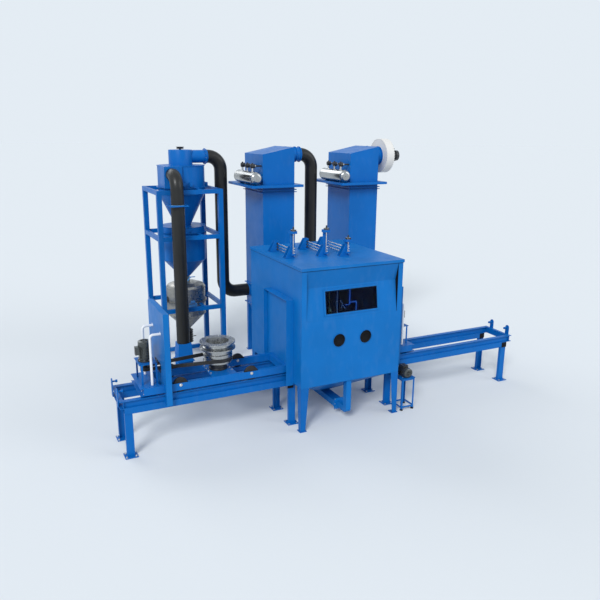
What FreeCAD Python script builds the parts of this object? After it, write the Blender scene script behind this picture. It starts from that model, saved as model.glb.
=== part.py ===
import FreeCAD, Part
import math
import os

Vector = FreeCAD.Vector

# A through-feed sandblasting plant: a blast cabinet on legs, a rail track that
# runs through it with a work trolley on each side, a cyclone tower that cleans
# the abrasive, and two dust collectors with their fan. Millimetres, +Z up,
# +X along the rails, +Y from the operator's side to the back.
# Everything is drawn from the cabinet's front left corner on the floor, and
# shifted at the end so that the plant stands centred over the origin.

X = Vector(1, 0, 0)
Y = Vector(0, 1, 0)
Z = Vector(0, 0, 1)

# Cabinet shell
cabinet_width = 1600.0
cabinet_depth = 1820.0
cabinet_top = 2340.0
cabinet_bottom = 655.0
sheet = 5.0
lip = 40.0
roof_overhang = 12.0
roof_rim = 42.0

# Folded front panel with its window
fold_margin = 75.0
fold_foot = 1600.0
fold_line = 2050.0
fold_head = 2290.0
fold_depth = 65.0
window_x = 370.0
window_width = 830.0
window_foot = 72.0
window_height = 325.0
window_trim = 22.0
window_trim_thick = 9.0
cheek_sheet = 3.0

# Arm ports
port_radius = 100.0
port_height = 1280.0
port_spacing = 428.0
port_collar = 6.0
port_collar_length = 55.0

# Openings for the trolleys and the tunnel collars around them
mouth_y = 250.0
mouth_width = 800.0
mouth_top = 1860.0
collar_depth = 110.0
collar_foot = 620.0

# Cabinet legs
leg_top_width = 125.0
leg_foot_width = 72.0
leg_sheet = 6.0
foot_plate = 8.0
foot_margin = 16.0

# Abrasive hopper, suction trough and its air riser
hopper_flange = 30.0
hopper_mouth_x = 700.0
hopper_mouth_width = 150.0
hopper_mouth_y = 730.0
hopper_mouth_depth = 360.0
hopper_foot = 228.0
trough_foot = 135.0
trough_front = 300.0
trough_margin = 90.0
trough_wall = 4.0
trough_plate_width = 165.0
trough_plate_height = 172.0
trough_plate_thick = 10.0
riser_width = 82.0
riser_depth = 87.0
riser_front = 20.0
riser_bend = 60.0
beam_fit = 0.3
line_radius = 60.0
line_y = 2300.0

# Track
track_left = -2330.0
track_right = 4050.0
track_front = 310.0
track_gauge = 610.0
beam_height = 180.0
beam_flange = 70.0
beam_web = 6.0
beam_flange_thick = 8.0
beam_tube_height = 80.0
beam_tube_wall = 5.0
beam_tube_short = 53.0
beam_foot = 597.0
left_leg_inset = 50.0
right_leg_inset = 103.0
track_leg_width = 100.0
track_leg_depth = 50.0
track_leg_wall = 6.0
track_plate = 165.0
track_plate_thick = 12.0
inner_leg_left = 15.0
inner_leg_right = 1650.0
anchor_spacing = 120.0
anchor_radius = 7.0

# Track ends and their buffers
end_beam_width = 50.0
end_beam_drop = 100.0
stop_plate = 12.0
stop_width = 76.0
stop_top = 925.0
stop_offset = 185.0
buffer_height = 880.0
buffer_radius = 19.0
buffer_length = 66.0
buffer_tip = 26.0

# Trolleys
trolley_inner_end = -50.0
trolley_gap = 91.0
trolley_end_lip = 50.0
trolley_beam_height = 100.0
trolley_beam_width = 60.0
trolley_beam_wall = 4.0
trolley_inset = 5.0
wheel_radius = 98.0
wheel_width = 40.0
wheel_slot_gap = 8.0
rail_gap = 0.3
wheel_inset_inner = 550.0
wheel_base = 990.0
stub_radius = 10.0
stub_gap = 0.05
cross_member = 60.0
table_plate_width = 350.0
table_plate_thick = 8.0
turntable_inset = 930.0

# Door panel on the trolley
panel_offset = 265.0
panel_thick = 75.0
panel_foot = 640.0
panel_overlap = 12.0
panel_gap = 6.0
door_gap = 6.0
belt_slot_width = 270.0
belt_slot_height = 90.0
inner_panel_thick = 25.0

# Drive stand on the trolley
drive_table_top = 1175.0
drive_table_length = 230.0
drive_table_width = 330.0
drive_angle = 25.0
drive_angle_wall = 4.0
drive_offset = 95.0
motor_radius = 75.0
motor_height = 270.0
motor_flange_radius = 92.0
motor_flange_thick = 22.0
terminal_box = 62.0
pulley_radius = 62.0
shaft_radius = 18.0
pulley_thick = 60.0

# Turntable and belt
bearing_radius = 106.0
bearing_height = 100.0
sheave_height = 300.0
sheave_rim_radius = 243.0
sheave_bore_radius = 155.0
groove_radius = 188.0
belt_foot = 1050.0
belt_width = 50.0
belt_thick = 9.0
belt_gap = 0.5
turning_gap = 0.3

# Push handles
handle_radius = 17.0
handle_top = 1577.0
handle_bend = 45.0
handle_offset = 125.0
rod_radius = 6.0
rod_top = 1700.0

# Gun positioners on the roof: x, front y and height of each slide column
gun_places = [(150.0, 700.0, 350.0), (645.0, 645.0, 350.0), (945.0, 540.0, 210.0)]
gun_rear_y = 1250.0
gun_bracket_width = 150.0
gun_bracket_height = 165.0
gun_bracket_depth = 85.0
gun_plate = 6.0
gun_rod_radius = 8.0
gun_rod_pitch = 42.0
gun_column_width = 62.0
gun_column_depth = 40.0
gun_head_height = 38.0
gun_head_width = 100.0
gun_screw_radius = 8.0
knob_radius = 33.0
knob_height = 24.0
knob_stem = 34.0
gun_pipe_radius = 16.0
gun_pipe_foot = 1866.0
nozzle_radius = 26.0
nozzle_length = 130.0

# Motor stand beside the cabinet
stand_x = 1690.0
stand_width = 220.0
stand_depth = 245.0
stand_top = 500.0
stand_angle = 26.0
stand_wall = 4.0
stand_foot = 30.0
stand_tie = 20.0
stand_motor_radius = 64.0
stand_motor_length = 212.0
stand_motor_rise = 12.0
saddle_width = 100.0
saddle_margin = 45.0

# Cyclone tower
tower_x = -598.0
tower_y = 3500.0
tower_span = 1041.0
tower_depth = 1000.0
tower_post = 80.0
tower_levels = [60.0, 1100.0, 2340.0, 3100.0]
tower_beam = 72.0
seat_width = 60.0
seat_thick = 12.0
seat_offset = 160.0
ring_width = 30.0
ring_thick = 10.0

# Cyclone and the vessels under it
cyclone_radius = 395.0
cyclone_top = 3510.0
cyclone_foot = 3040.0
cone_mouth_radius = 118.0
cone_mouth = 2470.0
vessel_sheet = 5.0
inlet_box_width = 300.0
inlet_box_height = 350.0
inlet_box_front = 3075.0
head_box_width = 400.0
head_box_top = 3750.0
outlet_z = 3652.0
outlet_radius = 108.0
outlet_reach = 430.0
separator_radius = 380.0
separator_top = 2490.0
separator_foot = 1910.0
separator_mouth = 1600.0
separator_mouth_radius = 100.0
pot_radius = 342.0
pot_top = 1400.0
pot_foot = 910.0
pot_mouth = 620.0
pot_mouth_radius = 60.0
pot_dome = 90.0
valve_radius = 48.0
valve_foot = 350.0
neck_flange = 14.0

# Round ducts
duct_radius = 112.0
duct_wall = 3.0
inlet_duct_radius = 105.0
inlet_duct_y = 2800.0
inlet_duct_x = -868.0
inlet_flange_z = 2915.0
inlet_duct_foot = 590.0
transition_foot = 60.0
transition_width = 250.0
duct_bend = 230.0
first_drop = 510.0
link_reach = 295.0
duct_base_height = 330.0
duct_base_rim = 220.0
duct_flange_thick = 14.0
duct_base_margin = 22.0

# Dust collectors
collector_width = 592.0
collector_depth = 835.0
collector_front = 2800.0
left_collector_x = 620.0
right_collector_x = 2325.0
collector_foot = 950.0
collector_flange_z = 3155.0
collector_flange_thick = 40.0
collector_flange_margin = 185.0
collector_flange_left = 265.0
collector_flange_right = 100.0
collector_flange_corner = 30.0
collector_band = 30.0
collector_band_gap = 380.0
collector_mouth = 430.0
collector_mouth_width = 220.0
bin_width = 340.0
bin_foot = 120.0
collector_leg = 70.0
collector_sheet = 4.0
head_low = 3700.0
head_rise = 120.0
head_neck = 235.0
link_z = 3682.0
collector_port_z = 1215.0
tank_radius = 105.0
tank_length = 880.0
tank_lift = 12.0
tank_gap = 62.0
tank_forward = 130.0
pulse_pitch = 230.0
pulse_pipe_radius = 14.0
pulse_valve_radius = 36.0

# Exhaust fan on the right collector
fan_radius = 315.0
fan_width = 165.0
fan_z = 3640.0
fan_collar_radius = 150.0
fan_collar_length = 258.0
fan_motor_radius = 88.0
fan_motor_length = 260.0
fan_outlet_width = 150.0


def block(x, y, z, dx, dy, dz):
    """Box with its low corner at x, y, z."""
    return Part.makeBox(dx, dy, dz, Vector(x, y, z))


def rod(x, y, z, direction, radius, length):
    """Round bar from a point along a direction."""
    return Part.makeCylinder(radius, length, Vector(x, y, z), direction)


def pipe(x, y, z, direction, radius, wall, length):
    """Round tube from a point along a direction."""
    return rod(x, y, z, direction, radius, length).cut(rod(x, y, z, direction, radius - wall, length))


def prism(points, sweep):
    """Solid from a closed outline of points, swept along a vector."""
    return Part.Face(Part.makePolygon(points + [points[0]])).extrude(sweep)


def outline_x(points, x, length):
    """Outline given as (y, z) pairs, extruded along X."""
    return prism([Vector(x, y, z) for y, z in points], Vector(length, 0, 0))


def outline_y(points, y, length):
    """Outline given as (x, z) pairs, extruded along Y."""
    return prism([Vector(x, y, z) for x, z in points], Vector(0, length, 0))


def outline_z(points, z, length):
    """Outline given as (x, y) pairs, extruded along Z."""
    return prism([Vector(x, y, z) for x, y in points], Vector(0, 0, length))


def turned(profile, x, y):
    """Solid turned about the upright axis at x, y from (radius, z) pairs."""
    face = Part.Face(Part.makePolygon([Vector(x + r, y, z) for r, z in profile + [profile[0]]]))
    return face.revolve(Vector(x, y, 0), Z, 360)


def fuse(shapes):
    """One solid from pieces that touch or overlap."""
    joined = shapes[0].multiFuse(shapes[1:])
    return joined.removeSplitter()


def rounded_plate(x, y, z, dx, dy, dz, radius):
    """Flat plate with round corners."""
    plate = block(x, y, z, dx, dy, dz)
    corners = [e for e in plate.Edges if abs(e.tangentAt(e.FirstParameter).z) > 0.99]
    return plate.makeFillet(radius, corners)


def rectangle_wire(x, y, z, dx, dy):
    """Closed level rectangle."""
    corners = [(x, y), (x + dx, y), (x + dx, y + dy), (x, y + dy), (x, y)]
    return Part.makePolygon([Vector(px, py, z) for px, py in corners])


def taper_block(low, high):
    """Solid four-sided taper between two level rectangles (x, y, z, dx, dy)."""
    return Part.makeLoft([rectangle_wire(*low), rectangle_wire(*high)], True, True)


def taper(low, high, wall):
    """Four-sided funnel between two rectangles, open at both ends."""
    def inset(r):
        x, y, z, dx, dy = r
        return rectangle_wire(x + wall, y + wall, z, dx - 2 * wall, dy - 2 * wall)
    inner = Part.makeLoft([inset(low), inset(high)], True, True)
    return taper_block(low, high).cut(inner)


def round_pipe(points, bend, radius, wall):
    """Round tube along straight runs joined by tangent arcs of one bend radius."""
    edges = []
    start = points[0]
    for before, corner, after in zip(points, points[1:], points[2:]):
        back = (before - corner).normalize()
        ahead = (after - corner).normalize()
        half = back.getAngle(ahead) / 2
        reach = bend / math.tan(half)
        enter = corner + back * reach
        leave = corner + ahead * reach
        middle = (back + ahead).normalize()
        crown = corner + middle * (bend / math.sin(half) - bend)
        edges.append(Part.LineSegment(start, enter).toShape())
        edges.append(Part.Arc(enter, crown, leave).toShape())
        start = leave
    edges.append(Part.LineSegment(start, points[-1]).toShape())
    path = Part.Wire(edges)
    heading = (points[1] - points[0]).normalize()
    rings = [radius] if wall is None else [radius, radius - wall]
    swept = [path.makePipeShell([Part.Wire(Part.makeCircle(r, points[0], heading))], True, False)
             for r in rings]
    return swept[0] if wall is None else swept[0].cut(swept[1])


def joined_solids(shapes):
    """Pieces that don't touch, kept together as one sub-part."""
    return Part.makeCompound(shapes)


def mirrored_x(shape, x):
    """Copy of a shape across the upright plane at x."""
    return shape.mirror(Vector(x, 0, 0), X)


# Places worked out from the sizes above
cabinet_middle = cabinet_width / 2
beam_top = beam_foot + beam_height
track_back = track_front + track_gauge
track_centre_y = track_front + track_gauge / 2
roof_top = cabinet_top + sheet
travel = cabinet_width - 2 * trolley_inner_end - trolley_gap
panel_inner_x = -collar_depth - door_gap - travel
panel_outer_x = panel_inner_x - panel_thick
trolley_outer_end = panel_outer_x - panel_offset
trolley_length = trolley_inner_end - trolley_outer_end
trolley_foot = beam_top + 26.0
trolley_top = trolley_foot + trolley_beam_height
trolley_front = track_front + trolley_inset
trolley_back = track_back - trolley_inset - trolley_beam_width
wheel_z = beam_top + rail_gap + wheel_radius
wheel_inner_x = trolley_inner_end - wheel_inset_inner
wheel_outer_x = wheel_inner_x - wheel_base
turntable_x = trolley_inner_end - turntable_inset
drive_x = trolley_outer_end + drive_offset
handle_x = trolley_outer_end + handle_offset
bearing_foot = trolley_top + table_plate_thick + turning_gap
sheave_foot = bearing_foot + bearing_height
tank_z = collector_flange_z + collector_flange_thick + tank_lift + tank_radius
inlet_box_foot = cyclone_top - inlet_box_height
tower_left = tower_x - tower_span / 2
tower_right = tower_x + tower_span / 2
tower_front = tower_y - tower_depth / 2
tower_back = tower_y + tower_depth / 2
collector_middle_y = collector_front + collector_depth / 2
fold_tilt = math.degrees(math.atan2(fold_depth, fold_line - fold_foot))

parts = {}


def make_cabinet():
    """Sheet walls with their openings, the folded window panel and the roof pan."""
    ports = [cabinet_middle - port_spacing / 2, cabinet_middle + port_spacing / 2]
    height = cabinet_top - cabinet_bottom
    front = block(0, 0, cabinet_bottom, cabinet_width, sheet, height)
    front = front.fuse(block(0, sheet, cabinet_bottom, cabinet_width, lip, sheet))
    front = front.cut(block(fold_margin, 0, fold_foot, cabinet_width - 2 * fold_margin, sheet,
                            fold_head - fold_foot))
    for x in ports:
        front = front.cut(rod(x, 0, port_height, Y, port_radius, sheet))
    parts["front_wall"] = front.removeSplitter()

    def on_fold(shape):
        shape.rotate(Vector(0, 0, fold_foot), X, -fold_tilt)
        return shape

    fold = [(0, fold_foot), (fold_depth, fold_line), (0, fold_head),
            (sheet, fold_head), (fold_depth + sheet, fold_line), (sheet, fold_foot)]
    panel = outline_x(fold, fold_margin, cabinet_width - 2 * fold_margin)
    window_z = fold_foot + window_foot
    panel = panel.cut(on_fold(block(window_x, -sheet, window_z, window_width, 4 * sheet, window_height)))
    trim = block(window_x - window_trim, -window_trim_thick, window_z - window_trim,
                 window_width + 2 * window_trim, window_trim_thick, window_height + 2 * window_trim)
    trim = trim.cut(block(window_x + 4, -window_trim_thick, window_z + 4,
                          window_width - 8, window_trim_thick, window_height - 8))
    parts["window_panel"] = fuse([panel, on_fold(trim)])
    parts["window_glass"] = on_fold(block(window_x, 0, window_z, window_width, sheet - 0.5, window_height))
    cheek = [(sheet, fold_foot), (fold_depth + sheet, fold_line), (sheet, fold_head)]
    parts["panel_seals"] = joined_solids([
        outline_x(cheek, fold_margin - cheek_sheet, cheek_sheet),
        outline_x(cheek, cabinet_width - fold_margin, cheek_sheet)])

    collars = []
    for x in ports:
        sleeve = pipe(x, -port_collar, port_height, Y, port_radius, port_collar, port_collar_length)
        ring = pipe(x, sheet, port_height, Y, port_radius + 22, 22 + port_collar, port_collar)
        collars.append(sleeve.fuse(ring).removeSplitter())
    parts["arm_ports"] = joined_solids(collars)

    side = block(0, sheet, cabinet_bottom, sheet, cabinet_depth - 2 * sheet, height)
    side = side.cut(block(0, mouth_y + sheet, cabinet_bottom, sheet, mouth_width - 2 * sheet,
                          mouth_top - sheet - cabinet_bottom))
    side = side.cut(block(0, sheet, cabinet_bottom, sheet, lip, sheet))
    parts["left_wall"] = side
    parts["right_wall"] = mirrored_x(side, cabinet_middle)
    parts["back_wall"] = block(0, cabinet_depth - sheet, cabinet_bottom, cabinet_width, sheet, height)

    collar = block(-collar_depth, mouth_y, collar_foot, collar_depth, mouth_width, mouth_top - collar_foot)
    collar = collar.cut(block(-collar_depth, mouth_y + sheet, collar_foot, collar_depth,
                              mouth_width - 2 * sheet, mouth_top - collar_foot - sheet))
    parts["mouth_collars"] = joined_solids([collar, mirrored_x(collar, cabinet_middle)])

    over = roof_overhang
    roof = block(-over, -over, cabinet_top + sheet - roof_rim, cabinet_width + 2 * over,
                 cabinet_depth + 2 * over, roof_rim)
    roof = roof.cut(block(0, 0, cabinet_top + sheet - roof_rim, cabinet_width, cabinet_depth,
                          roof_rim - sheet))
    for x, y, column in gun_places:
        roof = roof.cut(rod(x + gun_pipe_x(), y + gun_pipe_y(), cabinet_top, Z, gun_pipe_radius, sheet))
    parts["roof"] = roof


def gun_pipe_x():
    """Offset of a gun pipe from the middle of its bracket."""
    return gun_bracket_width / 2 - gun_column_width / 2


def gun_pipe_y():
    """Depth of a gun pipe behind the front bracket's face."""
    return gun_bracket_depth / 2


def make_legs_and_hopper():
    """Folded tapering corner legs, and the abrasive hopper between them."""
    flange_foot = cabinet_bottom - sheet
    legs = []
    for sx, x in ((1, 0.0), (-1, cabinet_width)):
        for sy, y in ((1, 0.0), (-1, cabinet_depth)):
            wires = []
            for z, reach in ((foot_plate, leg_foot_width), (flange_foot, leg_top_width)):
                outline = [(0, 0), (reach, 0), (reach, leg_sheet), (leg_sheet, leg_sheet),
                           (leg_sheet, reach), (0, reach), (0, 0)]
                wires.append(Part.makePolygon([Vector(x + sx * a, y + sy * b, z) for a, b in outline]))
            leg = Part.makeLoft(wires, True, True)
            size = leg_foot_width + 2 * foot_margin
            low_x = x - foot_margin if sx > 0 else x + foot_margin - size
            low_y = y - foot_margin if sy > 0 else y + foot_margin - size
            plate = block(low_x, low_y, 0, size, size, foot_plate)
            hole_x = x + sx * leg_foot_width * 0.6
            hole_y = y + sy * leg_foot_width * 0.6
            plate = plate.cut(rod(hole_x, hole_y, 0, Z, anchor_radius, foot_plate))
            legs.append(leg.fuse(plate).removeSplitter())
    parts["cabinet_legs"] = joined_solids(legs)

    mouth = (hopper_mouth_x, hopper_mouth_y, hopper_foot, hopper_mouth_width, hopper_mouth_depth)
    inset = hopper_flange
    rim = block(0, 0, flange_foot, cabinet_width, cabinet_depth, sheet)
    rim = rim.cut(block(inset, inset, flange_foot, cabinet_width - 2 * inset, cabinet_depth - 2 * inset,
                        sheet))
    bowl_top = (inset - sheet, inset - sheet, flange_foot, cabinet_width - 2 * inset + 2 * sheet,
                cabinet_depth - 2 * inset + 2 * sheet)
    hopper = fuse([rim, taper(mouth, bowl_top, sheet)])
    for y in (track_front, track_back - beam_flange):
        hopper = hopper.cut(block(-1, y - beam_fit, beam_foot - beam_fit, cabinet_width + 2,
                                  beam_flange + 2 * beam_fit, cabinet_bottom - beam_foot + 2 * beam_fit))
    parts["hopper"] = hopper

    parts["suction_trough"] = make_trough(taper_block(mouth, bowl_top).fuse(
        block(0, 0, flange_foot, cabinet_width, cabinet_depth, sheet)))


def make_trough(bowl):
    """Square duct under the hopper's mouth, with its end plates and the air riser."""
    w = trough_wall
    length = trough_back() - trough_front
    trough = block(hopper_mouth_x, trough_front, trough_foot, hopper_mouth_width, length,
                   hopper_foot - trough_foot)
    trough = trough.cut(block(hopper_mouth_x + w, trough_front, trough_foot + w, hopper_mouth_width - 2 * w,
                              length, hopper_foot - trough_foot - 2 * w))
    trough = trough.cut(block(hopper_mouth_x + sheet, hopper_mouth_y + sheet, hopper_foot - 2 * w,
                              hopper_mouth_width - 2 * sheet, hopper_mouth_depth - 2 * sheet, 2 * w))
    plate_x = trough_middle() - trough_plate_width / 2
    plate_z = line_z() - trough_plate_height / 2
    ends = [block(plate_x, y, plate_z, trough_plate_width, trough_plate_thick, trough_plate_height)
            for y in (trough_front - trough_plate_thick, trough_back())]

    def elbow(wall):
        x = trough_middle() - riser_width / 2 + wall
        front = riser_front + wall
        back = riser_front + riser_depth - wall
        low = line_z() - riser_depth / 2 + wall
        high = line_z() + riser_depth / 2 - wall
        end = trough_front - trough_plate_thick + (w if wall else 0)
        bar = outline_x([(front, low), (end, low), (end, high), (back, high), (back, cabinet_bottom),
                         (front, cabinet_bottom)], x, riser_width - 2 * wall)
        corner = [e for e in bar.Edges if abs(e.CenterOfMass.y - front) < 1 and abs(e.CenterOfMass.z - low) < 1]
        return bar.makeFillet(riser_bend - wall, corner)

    ends[0] = ends[0].cut(block(trough_middle() - riser_width / 2 + w, trough_front - trough_plate_thick,
                                line_z() - riser_depth / 2 + w, riser_width - 2 * w, trough_plate_thick,
                                riser_depth - 2 * w))
    ends[1] = ends[1].cut(rod(trough_middle(), trough_back(), line_z(), Y, line_radius - duct_wall,
                              trough_plate_thick))
    return fuse([trough, elbow(0).cut(elbow(w)).cut(bowl)] + ends)


def trough_middle():
    """Centre line of the suction trough."""
    return hopper_mouth_x + hopper_mouth_width / 2


def line_z():
    """Height of the suction trough's centre."""
    return (hopper_foot + trough_foot) / 2


def trough_back():
    """Rear end of the suction trough's duct."""
    return hopper_mouth_y + hopper_mouth_depth + trough_margin


def track_beam(y):
    """I beam along X that the wheels run on, with a rectangular tube welded under it."""
    f = beam_flange
    t = beam_flange_thick
    h = beam_height - beam_tube_height
    near = (f - beam_web) / 2
    far = near + beam_web
    outline = [(0, 0), (f, 0), (f, t), (far, t), (far, h - t), (f, h - t), (f, h), (0, h), (0, h - t),
               (near, h - t), (near, t), (0, t)]
    foot = beam_foot + beam_tube_height
    length = track_right - track_left
    beam = outline_x([(y + a, foot + b) for a, b in outline], track_left, length)
    w = beam_tube_wall
    length -= beam_tube_short
    tube = block(track_left, y, beam_foot, length, f, beam_tube_height)
    tube = tube.cut(block(track_left, y + w, beam_foot + w, length, f - 2 * w, beam_tube_height - 2 * w))
    return fuse([beam, tube])


def track_leg(x, y, side):
    """Channel post with its anchor plate; side turns its flanges inwards."""
    w = track_leg_wall
    half = track_leg_width / 2
    d = side * track_leg_depth
    outline = [(-half, 0), (half, 0), (half, d), (half - w, d), (half - w, side * w),
               (-half + w, side * w), (-half + w, d), (-half, d)]
    post = outline_z([(x + a, y + b) for a, b in outline], track_plate_thick, beam_foot - track_plate_thick)
    middle = y + side * track_leg_depth / 2
    low = track_plate / 2
    plate = block(x - low, middle - low, 0, track_plate, track_plate, track_plate_thick)
    for dx in (-1, 1):
        for dy in (-1, 1):
            plate = plate.cut(rod(x + dx * anchor_spacing / 2, middle + dy * anchor_spacing / 2, 0, Z,
                                  anchor_radius, track_plate_thick))
    return post.fuse(plate).removeSplitter()


def track_leg_places():
    """Where the posts stand along X."""
    return [track_left + left_leg_inset, inner_leg_left, inner_leg_right, track_right - right_leg_inset]


def track_leg_face():
    """Outer face of the front posts."""
    return track_front + (beam_flange - track_leg_depth) / 2


def make_track():
    """Two beams through the cabinet, their posts, and the end stops."""
    parts["track_beams"] = joined_solids([track_beam(y) for y in (track_front, track_back - beam_flange)])
    faces = ((track_leg_face(), 1), (2 * track_centre_y - track_leg_face(), -1))
    parts["track_legs"] = joined_solids([track_leg(x, y, side) for x in track_leg_places()
                                         for y, side in faces])

    stops = []
    for x, side in ((track_left, -1), (track_right, 1)):
        low = min(x, x + side * end_beam_width)
        foot = beam_top - end_beam_drop
        w = track_leg_wall
        outline = [(0, 0), (side * end_beam_width, 0), (side * end_beam_width, w), (side * w, w),
                   (side * w, end_beam_drop - w), (side * end_beam_width, end_beam_drop - w),
                   (side * end_beam_width, end_beam_drop), (0, end_beam_drop)]
        cross = outline_y([(x + a, foot + b) for a, b in outline], track_front, track_gauge)
        pieces = [cross]
        face = x + side * end_beam_width
        for y in (track_centre_y - stop_offset, track_centre_y + stop_offset):
            half = stop_width / 2
            bar_low = min(face, face + side * stop_plate)
            bar = block(bar_low, y - half, foot, stop_plate, stop_width, stop_top - half - foot)
            head = rod(bar_low, y, stop_top - half, X, half, stop_plate)
            stem = rod(face, y, buffer_height, X * -side, buffer_radius * 0.6, buffer_length)
            tip = rod(face - side * (buffer_length - buffer_tip), y, buffer_height, X * -side, buffer_radius,
                      buffer_tip)
            pieces += [bar, head, stem, tip]
        stops.append(fuse(pieces))
    parts["track_end_stops"] = joined_solids(stops)


def make_trolley():
    """Left trolley with its pieces, at rest rolled out. Returned by name."""
    made = {}
    w = trolley_beam_wall
    rails = []
    for y in (trolley_front, trolley_back):
        tube = block(trolley_outer_end, y, trolley_foot, trolley_length, trolley_beam_width,
                     trolley_beam_height)
        tube = tube.cut(block(trolley_outer_end, y + w, trolley_foot + w, trolley_length,
                              trolley_beam_width - 2 * w, trolley_beam_height - 2 * w))
        for x in (wheel_outer_x, wheel_inner_x):
            reach = wheel_radius + wheel_slot_gap
            tube = tube.cut(block(x - reach, y + w, trolley_foot, 2 * reach, trolley_beam_width - 2 * w,
                                  trolley_beam_height))
            tube = tube.fuse(rod(x, y, wheel_z, Y, stub_radius, trolley_beam_width))
        rails.append(tube)
    inner_y = trolley_front + trolley_beam_width
    inner_width = trolley_back - inner_y
    for x in (trolley_outer_end, trolley_inner_end - cross_member):
        cross = block(x, inner_y, trolley_foot, cross_member, inner_width, trolley_beam_height)
        rails.append(cross.cut(block(x + w, inner_y, trolley_foot + w, cross_member - 2 * w, inner_width,
                                     trolley_beam_height - 2 * w)))
    lip = trolley_end_lip
    high = trolley_beam_height
    end = [(0, 0), (-lip, 0), (-lip, w), (-w, w), (-w, high - w), (-lip, high - w), (-lip, high), (0, high)]
    rails.append(outline_y([(trolley_outer_end + a, trolley_foot + b) for a, b in end], trolley_front,
                           trolley_back + trolley_beam_width - trolley_front))
    rails.append(block(turntable_x - table_plate_width / 2, trolley_front, trolley_top, table_plate_width,
                       trolley_back + trolley_beam_width - trolley_front, table_plate_thick))
    table_low_x = drive_x - drive_table_length / 2
    table_low_y = track_centre_y - drive_table_width / 2
    plate_z = drive_table_top - table_plate_thick
    table = block(table_low_x, table_low_y, plate_z, drive_table_length, drive_table_width,
                  table_plate_thick)
    rails.append(table.cut(rod(drive_x, track_centre_y, plate_z, Z, shaft_radius, table_plate_thick)))
    base = block(trolley_outer_end, inner_y, trolley_top - table_plate_thick,
                 drive_x + drive_table_length / 2 - trolley_outer_end, inner_width, table_plate_thick)
    rails.append(base)
    a = drive_angle
    t = drive_angle_wall
    for sx in (-1, 1):
        for sy in (-1, 1):
            cx = drive_x + sx * (drive_table_length / 2)
            cy = track_centre_y + sy * (drive_table_width / 2)
            outline = [(0, 0), (-sx * a, 0), (-sx * a, -sy * t), (-sx * t, -sy * t), (-sx * t, -sy * a),
                       (0, -sy * a)]
            low = trolley_top - table_plate_thick
            leg = outline_z([(max(cx, trolley_outer_end) + p, cy + q) for p, q in outline], low,
                            plate_z - low)
            rails.append(leg)
    made["trolley_frame"] = fuse(rails)

    made["door_panel"] = joined_solids([make_door_panel(), make_inner_panel()])

    motor = rod(drive_x, track_centre_y, drive_table_top, Z, motor_flange_radius, motor_flange_thick)
    body = rod(drive_x, track_centre_y, drive_table_top + motor_flange_thick, Z, motor_radius,
               motor_height - motor_flange_thick)
    body = body.makeChamfer(9, [body.Edges[0]])
    box_y = track_centre_y - terminal_box / 2
    box = block(drive_x - motor_radius - terminal_box * 0.7, box_y, drive_table_top + motor_height * 0.35,
                terminal_box, terminal_box, motor_height * 0.4)
    pulley = rod(drive_x, track_centre_y, belt_foot - 5, Z, pulley_radius, pulley_thick)
    shaft = rod(drive_x, track_centre_y, belt_foot, Z, shaft_radius, drive_table_top - belt_foot)
    made["drive_motor"] = fuse([motor, body, box, pulley, shaft])

    made["drive_belt"] = make_belt()
    made["push_handles"] = make_handles()

    made["turntable"] = make_sheave()
    for name, x in (("outer_wheels", wheel_outer_x), ("inner_wheels", wheel_inner_x)):
        pair = []
        for y in (trolley_front, trolley_back):
            low = y + (trolley_beam_width - wheel_width) / 2
            wheel = rod(x, low, wheel_z, Y, wheel_radius, wheel_width)
            wheel = wheel.makeChamfer(6, [e for e in wheel.Edges if e.Length > wheel_radius * 4])
            pair.append(wheel.cut(rod(x, low, wheel_z, Y, stub_radius + stub_gap, wheel_width)))
        made[name] = joined_solids(pair)
    return made


def make_door_panel():
    """Flanged tray that closes the cabinet's mouth when the trolley is in."""
    low_y = mouth_y - panel_overlap
    width = mouth_width + 2 * panel_overlap
    top = mouth_top + panel_overlap
    tray = block(panel_outer_x, low_y, panel_foot, panel_thick, width, top - panel_foot)
    tray = tray.cut(block(panel_outer_x + sheet, low_y + sheet, panel_foot, panel_thick - sheet,
                          width - 2 * sheet, top - panel_foot - sheet))
    for y in (track_front, track_back - beam_flange):
        tray = tray.cut(block(panel_outer_x, y - panel_gap, panel_foot, panel_thick,
                              beam_flange + 2 * panel_gap, trolley_top - panel_foot))
    tray = tray.cut(block(panel_outer_x, track_centre_y - belt_slot_width / 2,
                          belt_foot + belt_width / 2 - belt_slot_height / 2, sheet, belt_slot_width,
                          belt_slot_height))
    return tray


def make_inner_panel():
    """Folded plate at the trolley's inner end, smaller all round than the mouth it passes."""
    gap = sheet + panel_gap
    low_y = mouth_y + gap
    width = mouth_width - 2 * gap
    foot = beam_top + panel_gap
    top = mouth_top - gap
    plate = block(trolley_inner_end, low_y, foot, inner_panel_thick, width, top - foot)
    return plate.cut(block(trolley_inner_end + sheet, low_y + sheet, foot, inner_panel_thick - sheet,
                           width - 2 * sheet, top - foot - sheet))


def make_belt():
    """Closed loop of flat belt round the motor pulley and the turntable groove."""
    inner_big = groove_radius + belt_gap
    inner_small = pulley_radius + belt_gap

    def loop(big, small):
        span = turntable_x - drive_x
        lean = math.asin((big - small) / span)
        away = math.sin(lean)
        rise = math.cos(lean)
        centre = Vector(turntable_x, track_centre_y, belt_foot)
        drive = Vector(drive_x, track_centre_y, belt_foot)
        a = centre + Vector(-away * big, rise * big, 0)
        b = centre + Vector(-away * big, -rise * big, 0)
        c = drive + Vector(-away * small, -rise * small, 0)
        d = drive + Vector(-away * small, rise * small, 0)
        wire = Part.Wire([Part.Arc(a, centre + Vector(big, 0, 0), b).toShape(),
                          Part.LineSegment(b, c).toShape(),
                          Part.Arc(c, drive - Vector(small, 0, 0), d).toShape(),
                          Part.LineSegment(d, a).toShape()])
        return Part.Face(wire).extrude(Vector(0, 0, belt_width))

    return loop(inner_big + belt_thick, inner_small + belt_thick).cut(loop(inner_big, inner_small))


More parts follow.
